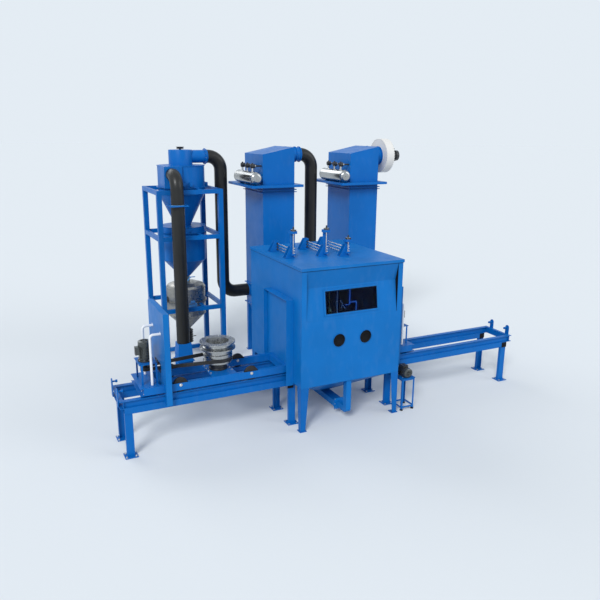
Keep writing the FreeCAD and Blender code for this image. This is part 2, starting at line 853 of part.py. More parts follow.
def make_sheave():
    """Multi-groove turntable sheave, turned, with windows through its web."""
    z = sheave_foot
    rim = sheave_rim_radius
    foot = bearing_foot
    profile = [
        (30, foot), (bearing_radius, foot), (bearing_radius, z), (groove_radius - 38, z),
        (groove_radius + 12, z + 12), (groove_radius + 12, belt_foot - 3),
        (groove_radius, belt_foot - 3), (groove_radius, belt_foot + belt_width + 3),
        (groove_radius + 12, belt_foot + belt_width + 3), (groove_radius + 12, z + 132),
        (groove_radius - 6, z + 140), (groove_radius - 6, z + 180), (rim - 30, z + 190), (rim, z + 198),
        (rim, z + 216), (rim - 40, z + 226), (groove_radius - 2, z + 240), (groove_radius - 2, z + 262),
        (rim, z + 282), (rim, z + sheave_height), (sheave_bore_radius, z + sheave_height),
        (sheave_bore_radius - 14, z + 190), (60, z + 180), (60, z + 215), (30, z + 215)]
    sheave = turned(profile, turntable_x, track_centre_y)
    for i in range(6):
        angle = math.radians(60 * i)
        x = turntable_x + 105 * math.cos(angle)
        y = track_centre_y + 105 * math.sin(angle)
        sheave = sheave.cut(rod(x, y, z, Z, 24, sheave_height))
    return sheave


def make_handles():
    """Two bent push handles from the frame to the door panel, and the guide rod."""
    handles = []
    inner_y = trolley_front + trolley_beam_width
    for y in (inner_y + 30, trolley_back - 30):
        foot = Vector(handle_x, y, trolley_top)
        top = Vector(handle_x, y, handle_top)
        end = Vector(panel_outer_x, y, handle_top)
        handles.append(round_pipe([foot, top, end], handle_bend, handle_radius, None))
    x = turntable_x + table_plate_width / 2 + 60
    handles.append(rod(x, trolley_back + trolley_beam_width / 2, trolley_top, Z, rod_radius,
                       rod_top - trolley_top))
    return joined_solids(handles)


def make_trolleys():
    """Left trolley rolled out, and its mirror image rolled in from the right."""
    for name, shape in make_trolley().items():
        parts["left_" + name] = shape
        other = mirrored_x(shape, cabinet_middle)
        other.translate(Vector(-travel, 0, 0))
        parts["right_" + name] = other


def gun_bracket(x, y, rods):
    """Two upright triangular cheeks with a plate across their upright edge."""
    half = gun_bracket_width / 2
    z = roof_top
    cheek = [(x - half, z), (x + half, z), (x + half, z + gun_bracket_height),
             (x + half - gun_column_width, z + gun_bracket_height)]
    pieces = [outline_y(cheek, y, gun_plate),
              outline_y(cheek, y + gun_bracket_depth - gun_plate, gun_plate),
              block(x + half - gun_plate, y, z, gun_plate, gun_bracket_depth, gun_bracket_height),
              block(x - half, y, z, gun_bracket_width, gun_bracket_depth, gun_plate)]
    bracket = fuse(pieces)
    for rx, rz in rods:
        bracket = bracket.cut(rod(rx, y, rz, Y, gun_rod_radius, gun_bracket_depth))
    return bracket


def make_guns():
    """Three gun positioners on the roof, and the gun pipes through it."""
    brackets = []
    rods = []
    pipes = []
    half = gun_bracket_width / 2
    for number, (x, y, column) in enumerate(gun_places, 1):
        rod_x = x + half - gun_plate - 2 * gun_rod_radius
        places = [(rod_x, roof_top + 36 + i * gun_rod_pitch) for i in range(3)]
        front = gun_bracket(x, y, places)
        pipe_x = x + gun_pipe_x()
        pipe_y = y + gun_pipe_y()
        hole = rod(pipe_x, pipe_y, roof_top, Z, gun_pipe_radius, gun_bracket_height)
        front = front.cut(hole)
        column_x = x + half - gun_column_width
        slide = block(column_x, y - gun_plate, roof_top, gun_column_width, gun_plate, column)
        ribs = [block(column_x, y - gun_plate, roof_top + gun_bracket_height, gun_plate,
                      gun_column_depth, column - gun_bracket_height),
                block(x + half - gun_plate, y - gun_plate, roof_top + gun_bracket_height, gun_plate,
                      gun_column_depth, column - gun_bracket_height)]
        head_low = column_x + gun_column_width / 2 - gun_head_width / 2
        screw_x = column_x + gun_column_width / 2
        screw_y = y - gun_plate - gun_screw_radius - 6
        head = block(head_low, screw_y - 22, roof_top + column, gun_head_width,
                     gun_column_depth + 22 + y - gun_plate - screw_y, gun_head_height)
        foot = block(column_x, screw_y - 14, roof_top + 40, gun_column_width, y - gun_plate - screw_y + 14, 24)
        frame = fuse([front, slide, head, foot] + ribs)
        frame = frame.cut(rod(screw_x, screw_y, roof_top + column, Z, gun_screw_radius + stub_gap,
                              gun_head_height))
        brackets.append(frame)
        brackets.append(gun_bracket(x, gun_rear_y, places))
        for rx, rz in places:
            rods.append(rod(rx, y, rz, Y, gun_rod_radius, gun_rear_y + gun_bracket_depth - y))
        top = roof_top + column + gun_head_height
        stem = rod(screw_x, screw_y, roof_top + 64 + turning_gap, Z, gun_screw_radius,
                   top - roof_top - 64 + knob_height)
        wheel = rod(screw_x, screw_y, top + turning_gap, Z, knob_radius, knob_height)
        tip = rod(screw_x, screw_y, top + knob_height, Z, gun_screw_radius, knob_stem)
        parts["gun_screw_%d" % number] = fuse([stem, wheel, tip])
        barrel = rod(pipe_x, pipe_y, gun_pipe_foot, Z, gun_pipe_radius,
                     roof_top + gun_bracket_height - gun_pipe_foot)
        nozzle = rod(pipe_x, pipe_y, gun_pipe_foot, Z, nozzle_radius, nozzle_length)
        pipes.append(barrel.fuse(nozzle).removeSplitter())
    parts["gun_brackets"] = joined_solids(brackets)
    parts["gun_rods"] = joined_solids(rods + pipes)


def make_motor_stand():
    """Small angle-iron stand beside the cabinet with its geared motor."""
    a = stand_angle
    t = stand_wall
    pieces = []
    for sx, x in ((1, stand_x), (-1, stand_x + stand_width)):
        for sy, y in ((1, 0.0), (-1, stand_depth)):
            outline = [(0, 0), (sx * a, 0), (sx * a, sy * t), (sx * t, sy * t), (sx * t, sy * a), (0, sy * a)]
            pieces.append(outline_z([(x + p, y + q) for p, q in outline], stand_foot,
                                    stand_top - stand_foot))
    for z in (stand_foot + 10, stand_top - a):
        ring = block(stand_x, 0, z, stand_width, stand_depth, a)
        ring = ring.cut(block(stand_x + t, t, z, stand_width - 2 * t, stand_depth - 2 * t, a))
        pieces.append(ring)
    pieces.append(block(stand_x - 8, -8, stand_top, stand_width + 16, stand_depth + 16, foot_plate))
    pieces.append(block(stand_x - stand_tie, stand_depth, stand_top - a, 2 * stand_tie,
                        track_leg_face() - stand_depth, stand_tie))
    for x in (stand_x + a / 2, stand_x + stand_width - a / 2):
        for y in (a / 2, stand_depth - a / 2):
            pieces.append(rod(x, y, 0, Z, a * 0.7, stand_foot))
    parts["motor_stand"] = fuse(pieces)
    base = stand_top + foot_plate
    middle = stand_x + stand_width / 2
    motor_z = base + stand_motor_radius + stand_motor_rise
    body = rod(middle, 10, motor_z, Y, stand_motor_radius, stand_motor_length)
    body = body.makeChamfer(8, [e for e in body.Edges if e.Length > stand_motor_radius * 4])
    saddle = block(middle - saddle_width / 2, saddle_margin, base, saddle_width,
                   stand_depth - 2 * saddle_margin, stand_motor_radius)
    box = block(middle - 48, 80, motor_z + stand_motor_radius - 12, 86, 110, 46)
    parts["stand_motor"] = fuse([body, saddle, box])


def make_tower():
    """Square posts on foot plates, and the beams between them at each level."""
    half = tower_post / 2
    top = tower_levels[-1] + tower_beam / 2
    foot = tower_post * 1.5
    posts = []
    for x in (tower_left, tower_right):
        for y in (tower_front, tower_back):
            post = block(x - half, y - half, foot_plate, tower_post, tower_post, top - foot_plate)
            plate = block(x - foot / 2, y - foot / 2, 0, foot, foot, foot_plate)
            posts.append(fuse([post, plate]))
    parts["tower_posts"] = joined_solids(posts)
    depth = tower_beam * 0.7
    beams = []
    for level, z in enumerate(tower_levels):
        low = z - tower_beam / 2
        for side, y in ((1, tower_front - half), (-1, tower_back + half - depth)):
            beam = block(tower_left + half, y, low, tower_span - tower_post, depth, tower_beam)
            beams.append(fuse([beam] + vessel_seats(level, side, low + tower_beam)))
        for x in (tower_left - half, tower_right + half - depth):
            beams.append(block(x, tower_front + half, low, depth, tower_depth - tower_post, tower_beam))
    parts["tower_beams"] = joined_solids(beams)


def vessel_seats(level, side, z):
    """Flat bars from a cross beam to the vessel that stands in this level."""
    radii = {1: pot_radius, 2: separator_radius, 3: cyclone_radius}
    if level not in radii:
        return []
    radius = radii[level]
    holder = rod(tower_x, tower_y, z, Z, radius, seat_thick)
    y = tower_front - tower_post / 2 if side > 0 else tower_y
    reach = tower_depth / 2 + tower_post / 2
    return [block(tower_x + dx - seat_width / 2, y, z, seat_width, reach, seat_thick).cut(holder)
            for dx in (-seat_offset, seat_offset)]


def ring_profile(levels, wall):
    """Closed (radius, z) outline of a wall of given thickness through (radius, z) levels."""
    outer = list(levels)
    inner = [(r - wall, z) for r, z in reversed(levels)]
    return outer + inner


def support_ring(radius, level):
    """Collar round a vessel that stands on the seats of a tower level."""
    return pipe(tower_x, tower_y, level + tower_beam / 2 + seat_thick, Z, radius + ring_width, ring_width,
                ring_thick)


def make_vessels():
    """Cyclone, separator hopper and blast pot, each a shell on lugs in the tower."""
    s = vessel_sheet
    cyclone = turned(ring_profile([(cone_mouth_radius, cone_mouth), (cyclone_radius, cyclone_foot),
                                   (cyclone_radius, cyclone_top)], s), tower_x, tower_y)
    lid = rod(tower_x, tower_y, cyclone_top - s, Z, cyclone_radius + 8, s)
    box_left = tower_x - cyclone_radius
    box = block(box_left, inlet_box_front, inlet_box_foot, inlet_box_width,
                tower_y - inlet_box_front, cyclone_top - inlet_box_foot)
    box = box.cut(block(box_left + s, inlet_box_front + s, inlet_box_foot + s, inlet_box_width - 2 * s,
                        tower_y - inlet_box_front, cyclone_top - inlet_box_foot - 2 * s))
    box = box.cut(rod(tower_x, tower_y, inlet_box_foot, Z, cyclone_radius - s, cyclone_top))
    shell = fuse([cyclone, lid, box, support_ring(cyclone_radius, tower_levels[3])])
    shell = shell.cut(rod(inlet_duct_x, inlet_box_front, inlet_port_z(), Y, inlet_duct_radius - duct_wall, s))
    hole = rod(tower_x, tower_y, cyclone_top - s, Z, outlet_radius, s)
    parts["cyclone"] = shell.cut(hole)

    half = head_box_width / 2
    head = block(tower_x - half, tower_y - half, cyclone_top, head_box_width, head_box_width,
                 head_box_top - cyclone_top)
    head = head.cut(block(tower_x - half + s, tower_y - half + s, cyclone_top, head_box_width - 2 * s,
                          head_box_width - 2 * s, head_box_top - cyclone_top - s))
    spout_length = outlet_flange_x() - tower_x - half
    head = head.cut(rod(tower_x + half - s, tower_y, outlet_z, X, outlet_radius - duct_wall, s))
    spout = pipe(tower_x + half, tower_y, outlet_z, X, outlet_radius, duct_wall, spout_length)
    flange = pipe(outlet_flange_x() - 14, tower_y, outlet_z, X, outlet_radius + 28, 28 + duct_wall, 14)
    hub = rod(tower_x, tower_y, head_box_top, Z, 16, 22)
    parts["cyclone_head"] = fuse([head, spout, flange, hub])
    stem_top = head_box_top + 22
    knob = pipe(tower_x, tower_y, stem_top + turning_gap + 8, Z, 62, 12, 10)
    spokes = [block(tower_x - 56, tower_y - 6, stem_top + turning_gap + 8, 112, 12, 8),
              block(tower_x - 6, tower_y - 56, stem_top + turning_gap + 8, 12, 112, 8)]
    boss = rod(tower_x, tower_y, stem_top + turning_gap, Z, 14, 18)
    parts["damper_wheel"] = fuse([knob, boss] + spokes)

    sep = turned(ring_profile([(separator_mouth_radius, separator_mouth), (separator_radius, separator_foot),
                               (separator_radius, separator_top)], s), tower_x, tower_y)
    lid = pipe(tower_x, tower_y, separator_top - s, Z, separator_radius + 6,
               separator_radius + 6 - cone_radius_at(separator_top), s)
    parts["separator_hopper"] = fuse([sep, lid, support_ring(separator_radius, tower_levels[2])])

    pot = turned([(pot_mouth_radius, pot_mouth), (pot_radius, pot_foot), (pot_radius, pot_top),
                  (pot_radius - s, pot_top), (pot_radius - s, pot_foot), (pot_mouth_radius - s, pot_mouth)],
                 tower_x, tower_y)
    parts["blast_pot"] = fuse([pot, support_ring(pot_radius, tower_levels[1])])
    dome = turned([(pot_mouth_radius, pot_top + pot_dome), (pot_radius * 0.62, pot_top + pot_dome * 0.82),
                   (pot_radius * 0.92, pot_top + pot_dome * 0.42), (pot_radius, pot_top),
                   (pot_radius - s, pot_top), (pot_radius * 0.92 - s, pot_top + pot_dome * 0.42 - s),
                   (pot_radius * 0.62, pot_top + pot_dome * 0.82 - s),
                   (pot_mouth_radius, pot_top + pot_dome - s)], tower_x, tower_y)
    neck = pipe(tower_x, tower_y, pot_top + pot_dome - s, Z, pot_mouth_radius + 20, 20 + s,
                separator_mouth - pot_top - pot_dome + s)
    parts["pot_head"] = fuse([dome, neck])
    valve = turned([(0, valve_foot), (30, valve_foot), (30, valve_foot + 50), (valve_radius, valve_foot + 60),
                    (valve_radius, valve_foot + 130), (34, valve_foot + 140), (34, valve_foot + 190),
                    (valve_radius, valve_foot + 200), (valve_radius, pot_mouth - neck_flange),
                    (pot_mouth_radius, pot_mouth - neck_flange), (pot_mouth_radius, pot_mouth),
                    (0, pot_mouth)],
                   tower_x, tower_y)
    lever = block(tower_x + 30, tower_y - 8, valve_foot + 88, 130, 16, 10)
    parts["pot_valve"] = fuse([valve, lever])


def cone_radius_at(z):
    """Outer radius of the cyclone's cone at a height."""
    share = (z - cone_mouth) / (cyclone_foot - cone_mouth)
    return cone_mouth_radius + share * (cyclone_radius - cone_mouth_radius)


def inlet_port_z():
    """Height of the inlet box's round port."""
    return cyclone_top - 130.0


def outlet_flange_x():
    """Plane of the cyclone outlet's flange."""
    return tower_x + outlet_reach


def make_ducts():
    """Black ducts: up to the cyclone, on to the first collector, and across to the second."""
    port = Vector(inlet_duct_x, inlet_box_front, inlet_port_z())
    corner = Vector(inlet_duct_x, inlet_duct_y, inlet_port_z())
    low = Vector(inlet_duct_x, inlet_duct_y, inlet_flange_z)
    bend = min(inlet_box_front - inlet_duct_y, duct_bend) - 20
    upper = round_pipe([port, corner, low], bend, inlet_duct_radius, duct_wall)
    lower = pipe(inlet_duct_x, inlet_duct_y, inlet_duct_foot, Z, inlet_duct_radius + 5, duct_wall,
                 inlet_flange_z - duct_flange_thick - inlet_duct_foot)
    line = round_pipe([Vector(trough_middle(), trough_back() + trough_plate_thick, line_z()),
                       Vector(trough_middle(), line_y, line_z()), Vector(inlet_duct_x, line_y, line_z()),
                       Vector(inlet_duct_x, inlet_duct_y - transition_width / 2, line_z())],
                      duct_bend, line_radius, duct_wall)
    parts["inlet_duct"] = joined_solids([upper, lower, line])
    size = inlet_duct_radius * 2 + 90
    t = duct_flange_thick
    plate_z = inlet_flange_z - t
    plate = block(inlet_duct_x - size / 2, inlet_duct_y - size / 2, plate_z, size, size, t)
    bore = rod(inlet_duct_x, inlet_duct_y, plate_z, Z, inlet_duct_radius - duct_wall, t)
    post_face = tower_front - tower_post / 2
    tie = block(inlet_duct_x - 20, inlet_duct_y + size / 2, plate_z, 40,
                post_face - inlet_duct_y - size / 2, t)
    link = block(inlet_duct_x - 20, post_face, plate_z, 40, 6,
                 tower_levels[-1] - tower_beam / 2 - plate_z)
    half = transition_width / 2
    throat = inlet_duct_radius + 5
    trunk_top = transition_foot + duct_base_height
    foot = rectangle_wire(inlet_duct_x - half, inlet_duct_y - half, trunk_top, transition_width,
                          transition_width)
    head = rectangle_wire(inlet_duct_x - throat, inlet_duct_y - throat, inlet_duct_foot,
                          2 * throat, 2 * throat)
    hood = Part.makeLoft([foot, head], True, True)
    trunk = block(inlet_duct_x - half, inlet_duct_y - half, transition_foot, transition_width,
                  transition_width, duct_base_height)
    wide = transition_width + 2 * duct_base_margin
    rim_x = inlet_duct_x - wide / 2
    rim_y = inlet_duct_y - wide / 2
    rim = block(rim_x, rim_y, transition_foot + duct_base_rim, wide, wide, t)
    base = block(rim_x, rim_y, 0, wide, wide, transition_foot)
    parts["duct_fittings"] = joined_solids([fuse([hood, trunk, rim, base]),
                                            fuse([plate.cut(bore), tie, link])])

    drop_x = left_collector_x - first_drop
    path = [Vector(outlet_flange_x(), tower_y, outlet_z), Vector(drop_x, tower_y, outlet_z),
            Vector(drop_x, tower_y, collector_port_z), Vector(left_collector_x, tower_y, collector_port_z)]
    first = round_pipe(path, duct_bend, duct_radius, duct_wall)
    start_x = left_collector_x + collector_width + head_neck
    drop_x = start_x + link_reach
    path = [Vector(start_x, collector_middle_y, link_z), Vector(drop_x, collector_middle_y, link_z),
            Vector(drop_x, collector_middle_y, collector_port_z),
            Vector(right_collector_x, collector_middle_y, collector_port_z)]
    parts["air_ducts"] = joined_solids([first, round_pipe(path, duct_bend, duct_radius, duct_wall)])


def make_collector(x):
    """Square dust collector: body on four legs with its hopper, and a head box above."""
    w = collector_width
    d = collector_depth
    y = collector_front
    s = collector_sheet
    m = collector_band
    body_top = collector_flange_z
    column = block(x, y, collector_foot, w, d, body_top - collector_foot)
    column = column.cut(block(x + s, y + s, collector_foot, w - 2 * s, d - 2 * s, body_top - collector_foot))
    c = collector_mouth_width
    cone = taper((x + w / 2 - c / 2, y + d / 2 - c / 2, collector_mouth, c, c), (x, y, collector_foot, w, d), s)
    drawer = block(x + w / 2 - bin_width / 2, y + d / 2 - bin_width / 2, bin_foot, bin_width, bin_width,
                   collector_mouth - bin_foot)
    pieces = [column, cone, drawer]
    for z in (collector_foot, collector_foot + collector_band_gap, body_top - 60):
        band = block(x - m, y - m, z, w + 2 * m, d + 2 * m, 14)
        pieces.append(band.cut(block(x + s, y + s, z, w - 2 * s, d - 2 * s, 14)))
    leg = collector_leg
    for lx in (x, x + w - leg):
        for ly in (y, y + d - leg):
            pieces.append(block(lx, ly, foot_plate, leg, leg, collector_foot - foot_plate))
            pieces.append(block(lx - 20, ly - 20, 0, leg + 40, leg + 40, foot_plate))
    body = fuse(pieces)
    port_y = tower_y if x < cabinet_middle else collector_middle_y
    body = body.cut(rod(x, port_y, collector_port_z, X, duct_radius - duct_wall, s))
    f = collector_flange_margin
    left = collector_flange_left
    plate = rounded_plate(x - left, y - f, body_top, left + w + collector_flange_right, d + 2 * f,
                          collector_flange_thick, collector_flange_corner)
    floor = body_top + collector_flange_thick
    head = outline_y([(x, floor), (x + w, floor), (x + w, head_low + head_rise), (x, head_low)], y, d)
    hollow = outline_y([(x + s, floor), (x + w - s, floor), (x + w - s, head_low + head_rise - 2 * s),
                        (x + s, head_low - 2 * s)], y + s, d - 2 * s)
    return body, fuse([plate, head.cut(hollow)])


def make_collectors():
    """Both collectors with their air tanks, pulse valves and the exhaust fan."""
    tanks = []
    valves = []
    for name, x in (("left", left_collector_x), ("right", right_collector_x)):
        body, head = make_collector(x)
        collar_x = x + collector_width
        s = collector_sheet
        mouth = fan_collar_radius if name == "right" else duct_radius
        mouth_z = fan_z if name == "right" else link_z
        head = head.cut(rod(collar_x - s, collector_middle_y, mouth_z, X, mouth - duct_wall, s))
        if name == "left":
            neck = pipe(collar_x, collector_middle_y, link_z, X, duct_radius + 10, 10 + duct_wall, head_neck)
            rim = pipe(collar_x, collector_middle_y, link_z, X, duct_radius + 28, 28 + duct_wall, 24)
            head = fuse([head, neck, rim])
        else:
            collar = pipe(collar_x, collector_middle_y, fan_z, X, fan_collar_radius, duct_wall,
                          fan_collar_length)
            head = fuse([head, collar])
        parts[name + "_collector_body"] = body
        parts[name + "_collector_head"] = head

        tank_x = x - tank_gap - tank_radius
        tank_middle = collector_middle_y - tank_forward
        tank_y = tank_middle - tank_length / 2
        barrel = rod(tank_x, tank_y, tank_z, Y, tank_radius, tank_length)
        barrel = barrel.makeFillet(tank_radius * 0.55,
                                   [e for e in barrel.Edges if e.Length > tank_radius * 4])
        tanks.append(barrel)
        deck = collector_flange_z + collector_flange_thick
        for i in (-1, 1):
            saddle = block(tank_x - 40, tank_middle + i * tank_length * 0.3 - 8, deck, 80, 16,
                           tank_z - deck)
            saddle = saddle.cut(rod(tank_x, tank_y - 1, tank_z, Y, tank_radius, tank_length + 2))
            valves.append(saddle)
        for i in (-1, 0, 1):
            y = tank_middle + i * pulse_pitch
            top = tank_z + tank_radius + 90
            stand = rod(tank_x, y, tank_z + tank_radius - 4, Z, pulse_pipe_radius, 90)
            stand = stand.cut(rod(tank_x, tank_y, tank_z, Y, tank_radius, tank_length))
            valve = rod(tank_x - 26, y, top, X, pulse_valve_radius, 62)
            lead = rod(tank_x + 20, y, top, X, pulse_pipe_radius, x - tank_x - 20)
            valves.append(fuse([stand, valve, lead]))
    parts["air_tanks"] = joined_solids(tanks)
    parts["pulse_valves"] = joined_solids(valves)

    disc_x = fan_disc_x()
    disc = rod(disc_x, collector_middle_y, fan_z, X, fan_radius, fan_width)
    disc = disc.makeChamfer(7, [e for e in disc.Edges if e.Length > fan_radius * 4])
    spout = block(disc_x + (fan_width - fan_outlet_width) / 2, collector_middle_y, fan_z - fan_radius,
                  fan_outlet_width, fan_radius + 90, fan_outlet_width * 1.2)
    rim = block(disc_x - 8, collector_middle_y + fan_radius + 90, fan_z - fan_radius - 15,
                fan_width + 16, 12, fan_outlet_width * 1.2 + 30)
    parts["fan_housing"] = fuse([disc, spout, rim])
    motor = rod(disc_x + fan_width, collector_middle_y, fan_z, X, fan_motor_radius, fan_motor_length)
    motor = motor.makeChamfer(7, [motor.Edges[0]])
    parts["fan_motor"] = motor


def fan_disc_x():
    """Near face of the fan's disc."""
    return right_collector_x + collector_width + fan_collar_length


def whole_box(shapes):
    """Box round every sub-part."""
    box = FreeCAD.BoundBox()
    for shape in shapes:
        box.add(shape.optimalBoundingBox(False))
    return box


make_cabinet()
make_legs_and_hopper()
make_track()
make_trolleys()
make_guns()
make_motor_stand()
make_tower()
make_vessels()
make_ducts()
make_collectors()

plant_box = whole_box(parts.values())
shift = Vector(-plant_box.Center.x, -plant_box.Center.y, -plant_box.ZMin)

os.makedirs("parts", exist_ok=True)
for name, shape in parts.items():
    shape.translate(shift)
    shape.exportStep("parts/%s.step" % name)
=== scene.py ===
import math

import bmesh
import bpy
from mathutils import Matrix, Vector


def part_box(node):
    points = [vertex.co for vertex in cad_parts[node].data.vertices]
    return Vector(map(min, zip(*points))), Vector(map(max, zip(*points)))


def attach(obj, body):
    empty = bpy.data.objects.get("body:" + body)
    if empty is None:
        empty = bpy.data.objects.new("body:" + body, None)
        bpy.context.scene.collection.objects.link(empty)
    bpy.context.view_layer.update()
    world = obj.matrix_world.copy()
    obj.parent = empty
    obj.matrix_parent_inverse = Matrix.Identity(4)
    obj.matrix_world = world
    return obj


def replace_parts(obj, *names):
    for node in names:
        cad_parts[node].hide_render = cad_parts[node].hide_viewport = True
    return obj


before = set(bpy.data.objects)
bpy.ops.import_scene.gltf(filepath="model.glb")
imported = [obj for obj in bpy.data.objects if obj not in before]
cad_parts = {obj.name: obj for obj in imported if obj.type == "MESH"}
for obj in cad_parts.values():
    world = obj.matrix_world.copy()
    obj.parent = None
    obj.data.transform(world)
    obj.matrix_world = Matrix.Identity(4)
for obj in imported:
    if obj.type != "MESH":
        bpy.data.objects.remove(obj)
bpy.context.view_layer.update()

# Everything is placed in millimetres from the cabinet's front left corner on
# the floor, as the plant is drawn, and turned into metres by at().
MM = 0.001
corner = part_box("front_wall")[0]


def at(x, y, z):
    """Point of the scene, in metres, from the cabinet's corner in millimetres."""
    return Vector((corner[0] + x * MM, corner[1] + y * MM, z * MM))


def span(node):
    """Low and high corner of a CAD node in millimetres from the cabinet's corner."""
    low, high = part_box(node)
    shift = Vector((corner[0], corner[1], 0.0))
    return (Vector(low) - shift) / MM, (Vector(high) - shift) / MM


def middle(node):
    """Middle of a CAD node in millimetres from the cabinet's corner."""
    low, high = span(node)
    return (low + high) / 2


# Finishes.


class Finish:
    """A procedural material: one shader, fed by nodes on Object coordinates."""

    def __init__(self, name, colour, metal=0.0, rough=0.4, specular=0.5):
        self.material = bpy.data.materials.new(name)
        self.material.use_nodes = True
        self.tree = self.material.node_tree
        self.tree.nodes.clear()
        out = self.tree.nodes.new("ShaderNodeOutputMaterial")
        self.shader = self.tree.nodes.new("ShaderNodeBsdfPrincipled")
        self.tree.links.new(self.shader.outputs["BSDF"], out.inputs["Surface"])
        self.shader.inputs["Base Color"].default_value = (*colour, 1.0)
        self.shader.inputs["Metallic"].default_value = metal
        self.shader.inputs["Roughness"].default_value = rough
        self.shader.inputs["Specular IOR Level"].default_value = specular
        self.object_place = self.node("ShaderNodeTexCoord").outputs["Object"]

    def node(self, kind, links=None, **settings):
        """New node with its sockets set or linked, and its properties set."""
        made = self.tree.nodes.new(kind)
        for key, value in settings.items():
            setattr(made, key, value)
        for socket, value in (links or {}).items():
            if isinstance(value, bpy.types.NodeSocket):
                self.tree.links.new(value, made.inputs[socket])
            else:
                made.inputs[socket].default_value = value
        return made

    def link(self, value, socket):
        """Feeds one of the shader's sockets."""
        self.tree.links.new(value, self.shader.inputs[socket])

    def noise(self, scale, detail=3.0, stretch=(1, 1, 1)):
        """Noise over the object, stretched along its axes."""
        place = self.node("ShaderNodeMapping", {"Vector": self.object_place, "Scale": stretch})
        return self.node("ShaderNodeTexNoise", {"Vector": place.outputs["Vector"], "Scale": scale,
                                                "Detail": detail}).outputs["Fac"]

    def bands(self, value, low, high, dark, light):
        """Colour that goes from dark to light as a value goes from low to high."""
        ramp = self.node("ShaderNodeMapRange", {"Value": value, "From Min": low, "From Max": high})
        mix = self.node("ShaderNodeMix", {0: ramp.outputs["Result"], 6: (*dark, 1.0), 7: (*light, 1.0)},
                        data_type="RGBA")
        return mix.outputs[2]

    def rough_from(self, value, low, high):
        """Roughness that drifts between two values."""
        ramp = self.node("ShaderNodeMapRange", {"Value": value, "From Min": 0.3, "From Max": 0.7,
                                                "To Min": low, "To Max": high})
        self.link(ramp.outputs["Result"], "Roughness")

    def bump(self, value, strength, depth, edge=0.0):
        """Surface relief from a value, over rounded edges where edge is a radius in metres."""
        bump = self.node("ShaderNodeBump", {"Height": value, "Strength": strength, "Distance": depth})
        if edge:
            soft = self.node("ShaderNodeBevel", {"Radius": edge}, samples=4)
            self.tree.links.new(soft.outputs["Normal"], bump.inputs["Normal"])
        self.link(bump.outputs["Normal"], "Normal")


def shade(colour, factor):
    """Lighter or darker colour."""
    return tuple(c * factor for c in colour)


def sprayed(name, colour, rough=0.38, variation=0.07, edge=0.004):
    """Sprayed sheet steel: slow drift of tone, orange peel and soft folded edges."""
    finish = Finish(name, colour, rough=rough, specular=0.16)
    drift = finish.noise(1.7, 4.0)
    tone = finish.bands(drift, 0.3, 0.7, shade(colour, 1 - variation), shade(colour, 1 + variation))
    dust = finish.noise(14.0, 6.0, (1, 1, 0.35))
    haze = finish.node("ShaderNodeMapRange", {"Value": dust, "From Min": 0.52, "From Max": 0.85,
                                              "To Min": 0.0, "To Max": 0.04})
    mixed = finish.node("ShaderNodeMix", {0: haze.outputs["Result"], 6: tone,
                                          7: (0.35, 0.42, 0.52, 1.0)}, data_type="RGBA")
    finish.link(mixed.outputs[2], "Base Color")
    finish.rough_from(finish.noise(5.0, 5.0), rough - 0.05, rough + 0.09)
    finish.bump(finish.noise(260.0, 2.0), 0.10, 0.0006, edge)
    return finish


def cast_or_dark(name, colour, rough, grain=180.0, strength=0.25, metal=0.0, edge=0.002):
    """Dark castings and plastics: mottled tone with a fine grain."""
    finish = Finish(name, colour, metal=metal, rough=rough)
    mottle = finish.noise(9.0, 5.0)
    finish.link(finish.bands(mottle, 0.3, 0.7, shade(colour, 0.75), shade(colour, 1.35)), "Base Color")
    finish.rough_from(finish.noise(22.0, 4.0), rough - 0.07, rough + 0.10)
    finish.bump(finish.noise(grain, 3.0), strength, 0.0006, edge)
    return finish


def turned_metal(name, colour, rough, centre, pitch):
    """Lathe-turned metal: fine rings about an upright axis, as the tool leaves them."""
    finish = Finish(name, colour, metal=1.0, rough=rough)
    place = finish.node("ShaderNodeMapping", {"Vector": finish.object_place,
                                              "Location": (-centre.x, -centre.y, -centre.z)})
    split = finish.node("ShaderNodeSeparateXYZ", {"Vector": place.outputs["Vector"]})
    flat = finish.node("ShaderNodeCombineXYZ", {"X": split.outputs["X"], "Y": split.outputs["Y"]})
    reach = finish.node("ShaderNodeVectorMath", {0: flat.outputs["Vector"]}, operation="LENGTH")
    along = finish.node("ShaderNodeMath", {0: reach.outputs["Value"], 1: split.outputs["Z"]}, operation="ADD")
    turns = finish.node("ShaderNodeMath", {0: along.outputs["Value"], 1: 2 * math.pi / pitch},
                        operation="MULTIPLY")
    groove = finish.node("ShaderNodeMath", {0: turns.outputs["Value"]}, operation="SINE")
    stain = finish.noise(16.0, 5.0)
    finish.link(finish.bands(stain, 0.3, 0.75, shade(colour, 0.82), shade(colour, 1.12)), "Base Color")
    finish.rough_from(finish.noise(40.0, 4.0), rough - 0.06, rough + 0.12)
    finish.bump(groove.outputs["Value"], 0.12, 0.0004, 0.0015)
    return finish


def polished(name, colour, rough):
    """Polished sheet stainless: nearly a mirror, with rolling marks and faint smears."""
    finish = Finish(name, colour, metal=1.0, rough=rough)
    smear = finish.noise(7.0, 5.0, (1, 1, 3))
    finish.link(finish.bands(smear, 0.3, 0.7, shade(colour, 0.9), shade(colour, 1.06)), "Base Color")
    finish.rough_from(finish.noise(30.0, 5.0, (1, 0.1, 1)), rough * 0.6, rough * 1.7)
    finish.bump(finish.noise(55.0, 2.0, (1, 0.12, 1)), 0.05, 0.0005, 0.003)
    return finish


